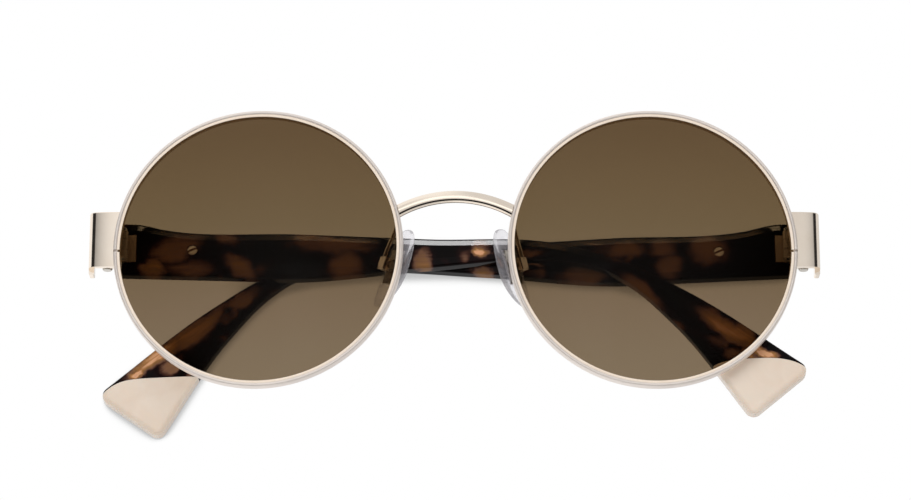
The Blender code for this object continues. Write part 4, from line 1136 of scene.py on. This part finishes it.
def make_pad_arm(side):
    """A bent wire from the rim with a forked box at its end."""
    place = pad_place(side)
    wire = tube(smooth_path(arm_path(side), ARM_STEPS), 2 * ARM_RADIUS, 2 * ARM_RADIUS, WIRE_STEPS,
                Vector((1.0, 0.2, 0.3)))
    ear_in = TAB_THICKNESS / 2 + PIVOT_GAP
    ear_out = ear_in + EAR_THICKNESS
    outline = [(-ear_out, -EAR_HALF_LENGTH), (ear_out, -EAR_HALF_LENGTH),
               (ear_out, EAR_HALF_LENGTH), (-ear_out, EAR_HALF_LENGTH)]
    block = slab(outline, -WEB_FRONT - WEB_THICKNESS, EAR_REACH, EAR_ROUND, 3)
    slot = box((-ear_in, -2 * EAR_HALF_LENGTH, -WEB_FRONT),
               (ear_in, 2 * EAR_HALF_LENGTH, 2 * EAR_REACH))
    bore = rod(PAD_SCREW_RADIUS + SCREW_GAP, (-2 * ear_out, 0, 0), (2 * ear_out, 0, 0))
    changes = [(block, place, side, "UNION"), (slot, place, side), (bore, place, side)]
    piece("pad_wire", "pad_arm", wire, FRONT, side, "front", ["gold"], changes)


# Stage

def make_stage():
    """A white floor, soft lights, a studio for the metal to mirror, and the camera."""
    sheet = bmesh.new()
    sheet.faces.new([sheet.verts.new((x * FLOOR_REACH, y * FLOOR_REACH, 0))
                     for x, y in ((-1, -1), (1, -1), (1, 1), (-1, 1))])
    floor = add("floor", mesh_of(sheet, Matrix(), 1))
    floor.data.materials.append(floor_paint())
    make_world()
    make_lamps()
    make_camera()


def make_world():
    """Even light from all round, which the camera sees white and metal as the studio."""
    world = bpy.data.worlds.new("studio")
    bpy.context.scene.world = world
    world.use_nodes = True
    tree = world.node_tree
    rays = node(tree, "ShaderNodeLightPath")
    mirrored = between(rays.outputs["Is Glossy Ray"], 1.0, studio_tone(tree))
    connect(tree.nodes["Background"], Color=WHITE,
            Strength=between(seen_rays(tree), WORLD_LIGHT, mirrored))


def make_lamps():
    """Lamps that point at the part. One lights only the temples' acetate."""
    for name, place, size, power, reach in LAMPS:
        lamp = bpy.data.lights.new(name, "AREA")
        lamp.shape = "RECTANGLE"
        lamp.size, lamp.size_y = size
        lamp.energy = power
        item = add(name, lamp)
        item.location = place
        item.rotation_euler = (-Vector(place)).to_track_quat("-Z", "Y").to_euler()
        item.visible_glossy = reach != "no mirror"
        item.visible_diffuse = reach != "temples"
        if reach == "temples":
            item.light_linking.receiver_collection = acetate_group()


def studio_tone(tree):
    """What polished metal mirrors: a white room with dark flags in front and at both sides."""
    place = node(tree, "ShaderNodeTexCoord").outputs["Generated"]
    x, y, z = node(tree, "ShaderNodeSeparateXYZ", Vector=place).outputs
    wide = maths("MAXIMUM", fade(x, -0.02, -0.5), fade(x, 0.22, 0.6))
    front = [fade(y, -0.6, -0.25, 1.0, 0.0), fade(z, 0.18, 0.32), fade(z, 0.71, 0.87, 1.0, 0.0)]
    flank = [wide, fade(z, 0.16, 0.3), fade(maths("ABSOLUTE", y), 0.35, 0.8, 1.0, 0.0)]
    flags = [folded("MULTIPLY", parts) for parts in (front, flank)]
    room = fade(x, -0.08, 0.14, 1.0, 0.74)
    return between(folded("MAXIMUM", flags), room, FLAG_TONE)


def acetate_group():
    """The temples' acetate, which alone catches the long strip of light."""
    group = bpy.data.collections.new("acetate")
    for item in bpy.context.scene.objects:
        if item.name.startswith("temple_bar"):
            group.objects.link(item)
    return group


def seen_rays(tree):
    """One for rays from the camera, straight or by way of metal and glass, else nought."""
    rays = node(tree, "ShaderNodeLightPath").outputs
    names = ("Is Camera Ray", "Is Glossy Ray", "Is Transmission Ray")
    return folded("MAXIMUM", [rays[name] for name in names])


def floor_paint():
    """White paper for the light. The camera sees through it, apart from the close shade."""
    paint, tree, _ = new_paint("floor_white", (1.0, 1.0, 1.0), 0.9)
    near = node(tree, "ShaderNodeAmbientOcclusion", {"samples": 16}, Distance=SHADE_REACH)
    shade = ramp(near.outputs["AO"], SHADE_STOPS)
    clear = output(tree, "ShaderNodeBsdfTransparent", Color=shade)
    paper = output(tree, "ShaderNodeBsdfDiffuse", Color=(0.9, 0.9, 0.9, 1.0))
    connect(tree.nodes["Material Output"], Surface=layered(seen_rays(tree), paper, clear))
    return paint


def make_camera():
    """The camera, seen along the lens axis and a little from below."""
    turn = FRONT.to_3x3()
    back = turn @ Vector((0, -sin(CAMERA_TILT), cos(CAMERA_TILT)))
    right = turn @ Vector((1, 0, 0))
    up = back.cross(right)
    camera = bpy.data.cameras.new("camera")
    camera.sensor_width = SENSOR_WIDTH
    camera.lens = PIXELS_PER_METRE_AWAY * SENSOR_WIDTH / IMAGE_WIDTH
    camera.clip_start = CAMERA_NEAR
    item = add("camera", camera)
    place = Matrix((right, up, back)).transposed().to_4x4()
    place.translation = FRONT.translation + back * CAMERA_DISTANCE - up * CAMERA_DROP
    item.matrix_world = place
    bpy.context.scene.camera = item


def paint_node(name, paint):
    """A CAD node that keeps its shape gets a finished material."""
    item = frame["nodes"][name]
    for slot in item.material_slots:
        slot.material = paint


def make_paints():
    """Make every finished material."""
    PAINTS.update({name: metal_paint(*values) for name, values in METALS.items()})
    PAINTS.update({name: tortoise_paint(name, *values) for name, values in TORTOISE.items()})
    PAINTS.update(lens_r=lens_paint(-1), lens_l=lens_paint(1), rim_ledge=lacquer_paint(),
                  cream=cream_paint(), pad=pad_paint(), insert=insert_paint())


def main():
    """Make the materials, the pieces of both sides and the stage."""
    make_paints()
    for side, word in ((-1, "right"), (1, "left")):
        make_rim(side)
        make_lens(side)
        make_end_piece(side)
        make_temple(side, word + "_temple")
        make_rivet(side, word + "_temple")
        make_pad(side, word + "_pad")
        make_pad_arm(side)
        for key, parts in KEPT_NODES.items():
            for part in parts:
                paint_node(part + TAGS[side], PAINTS[key])
    make_bridge()
    make_stage()
    bpy.context.scene.view_settings.view_transform = "Standard"


main()
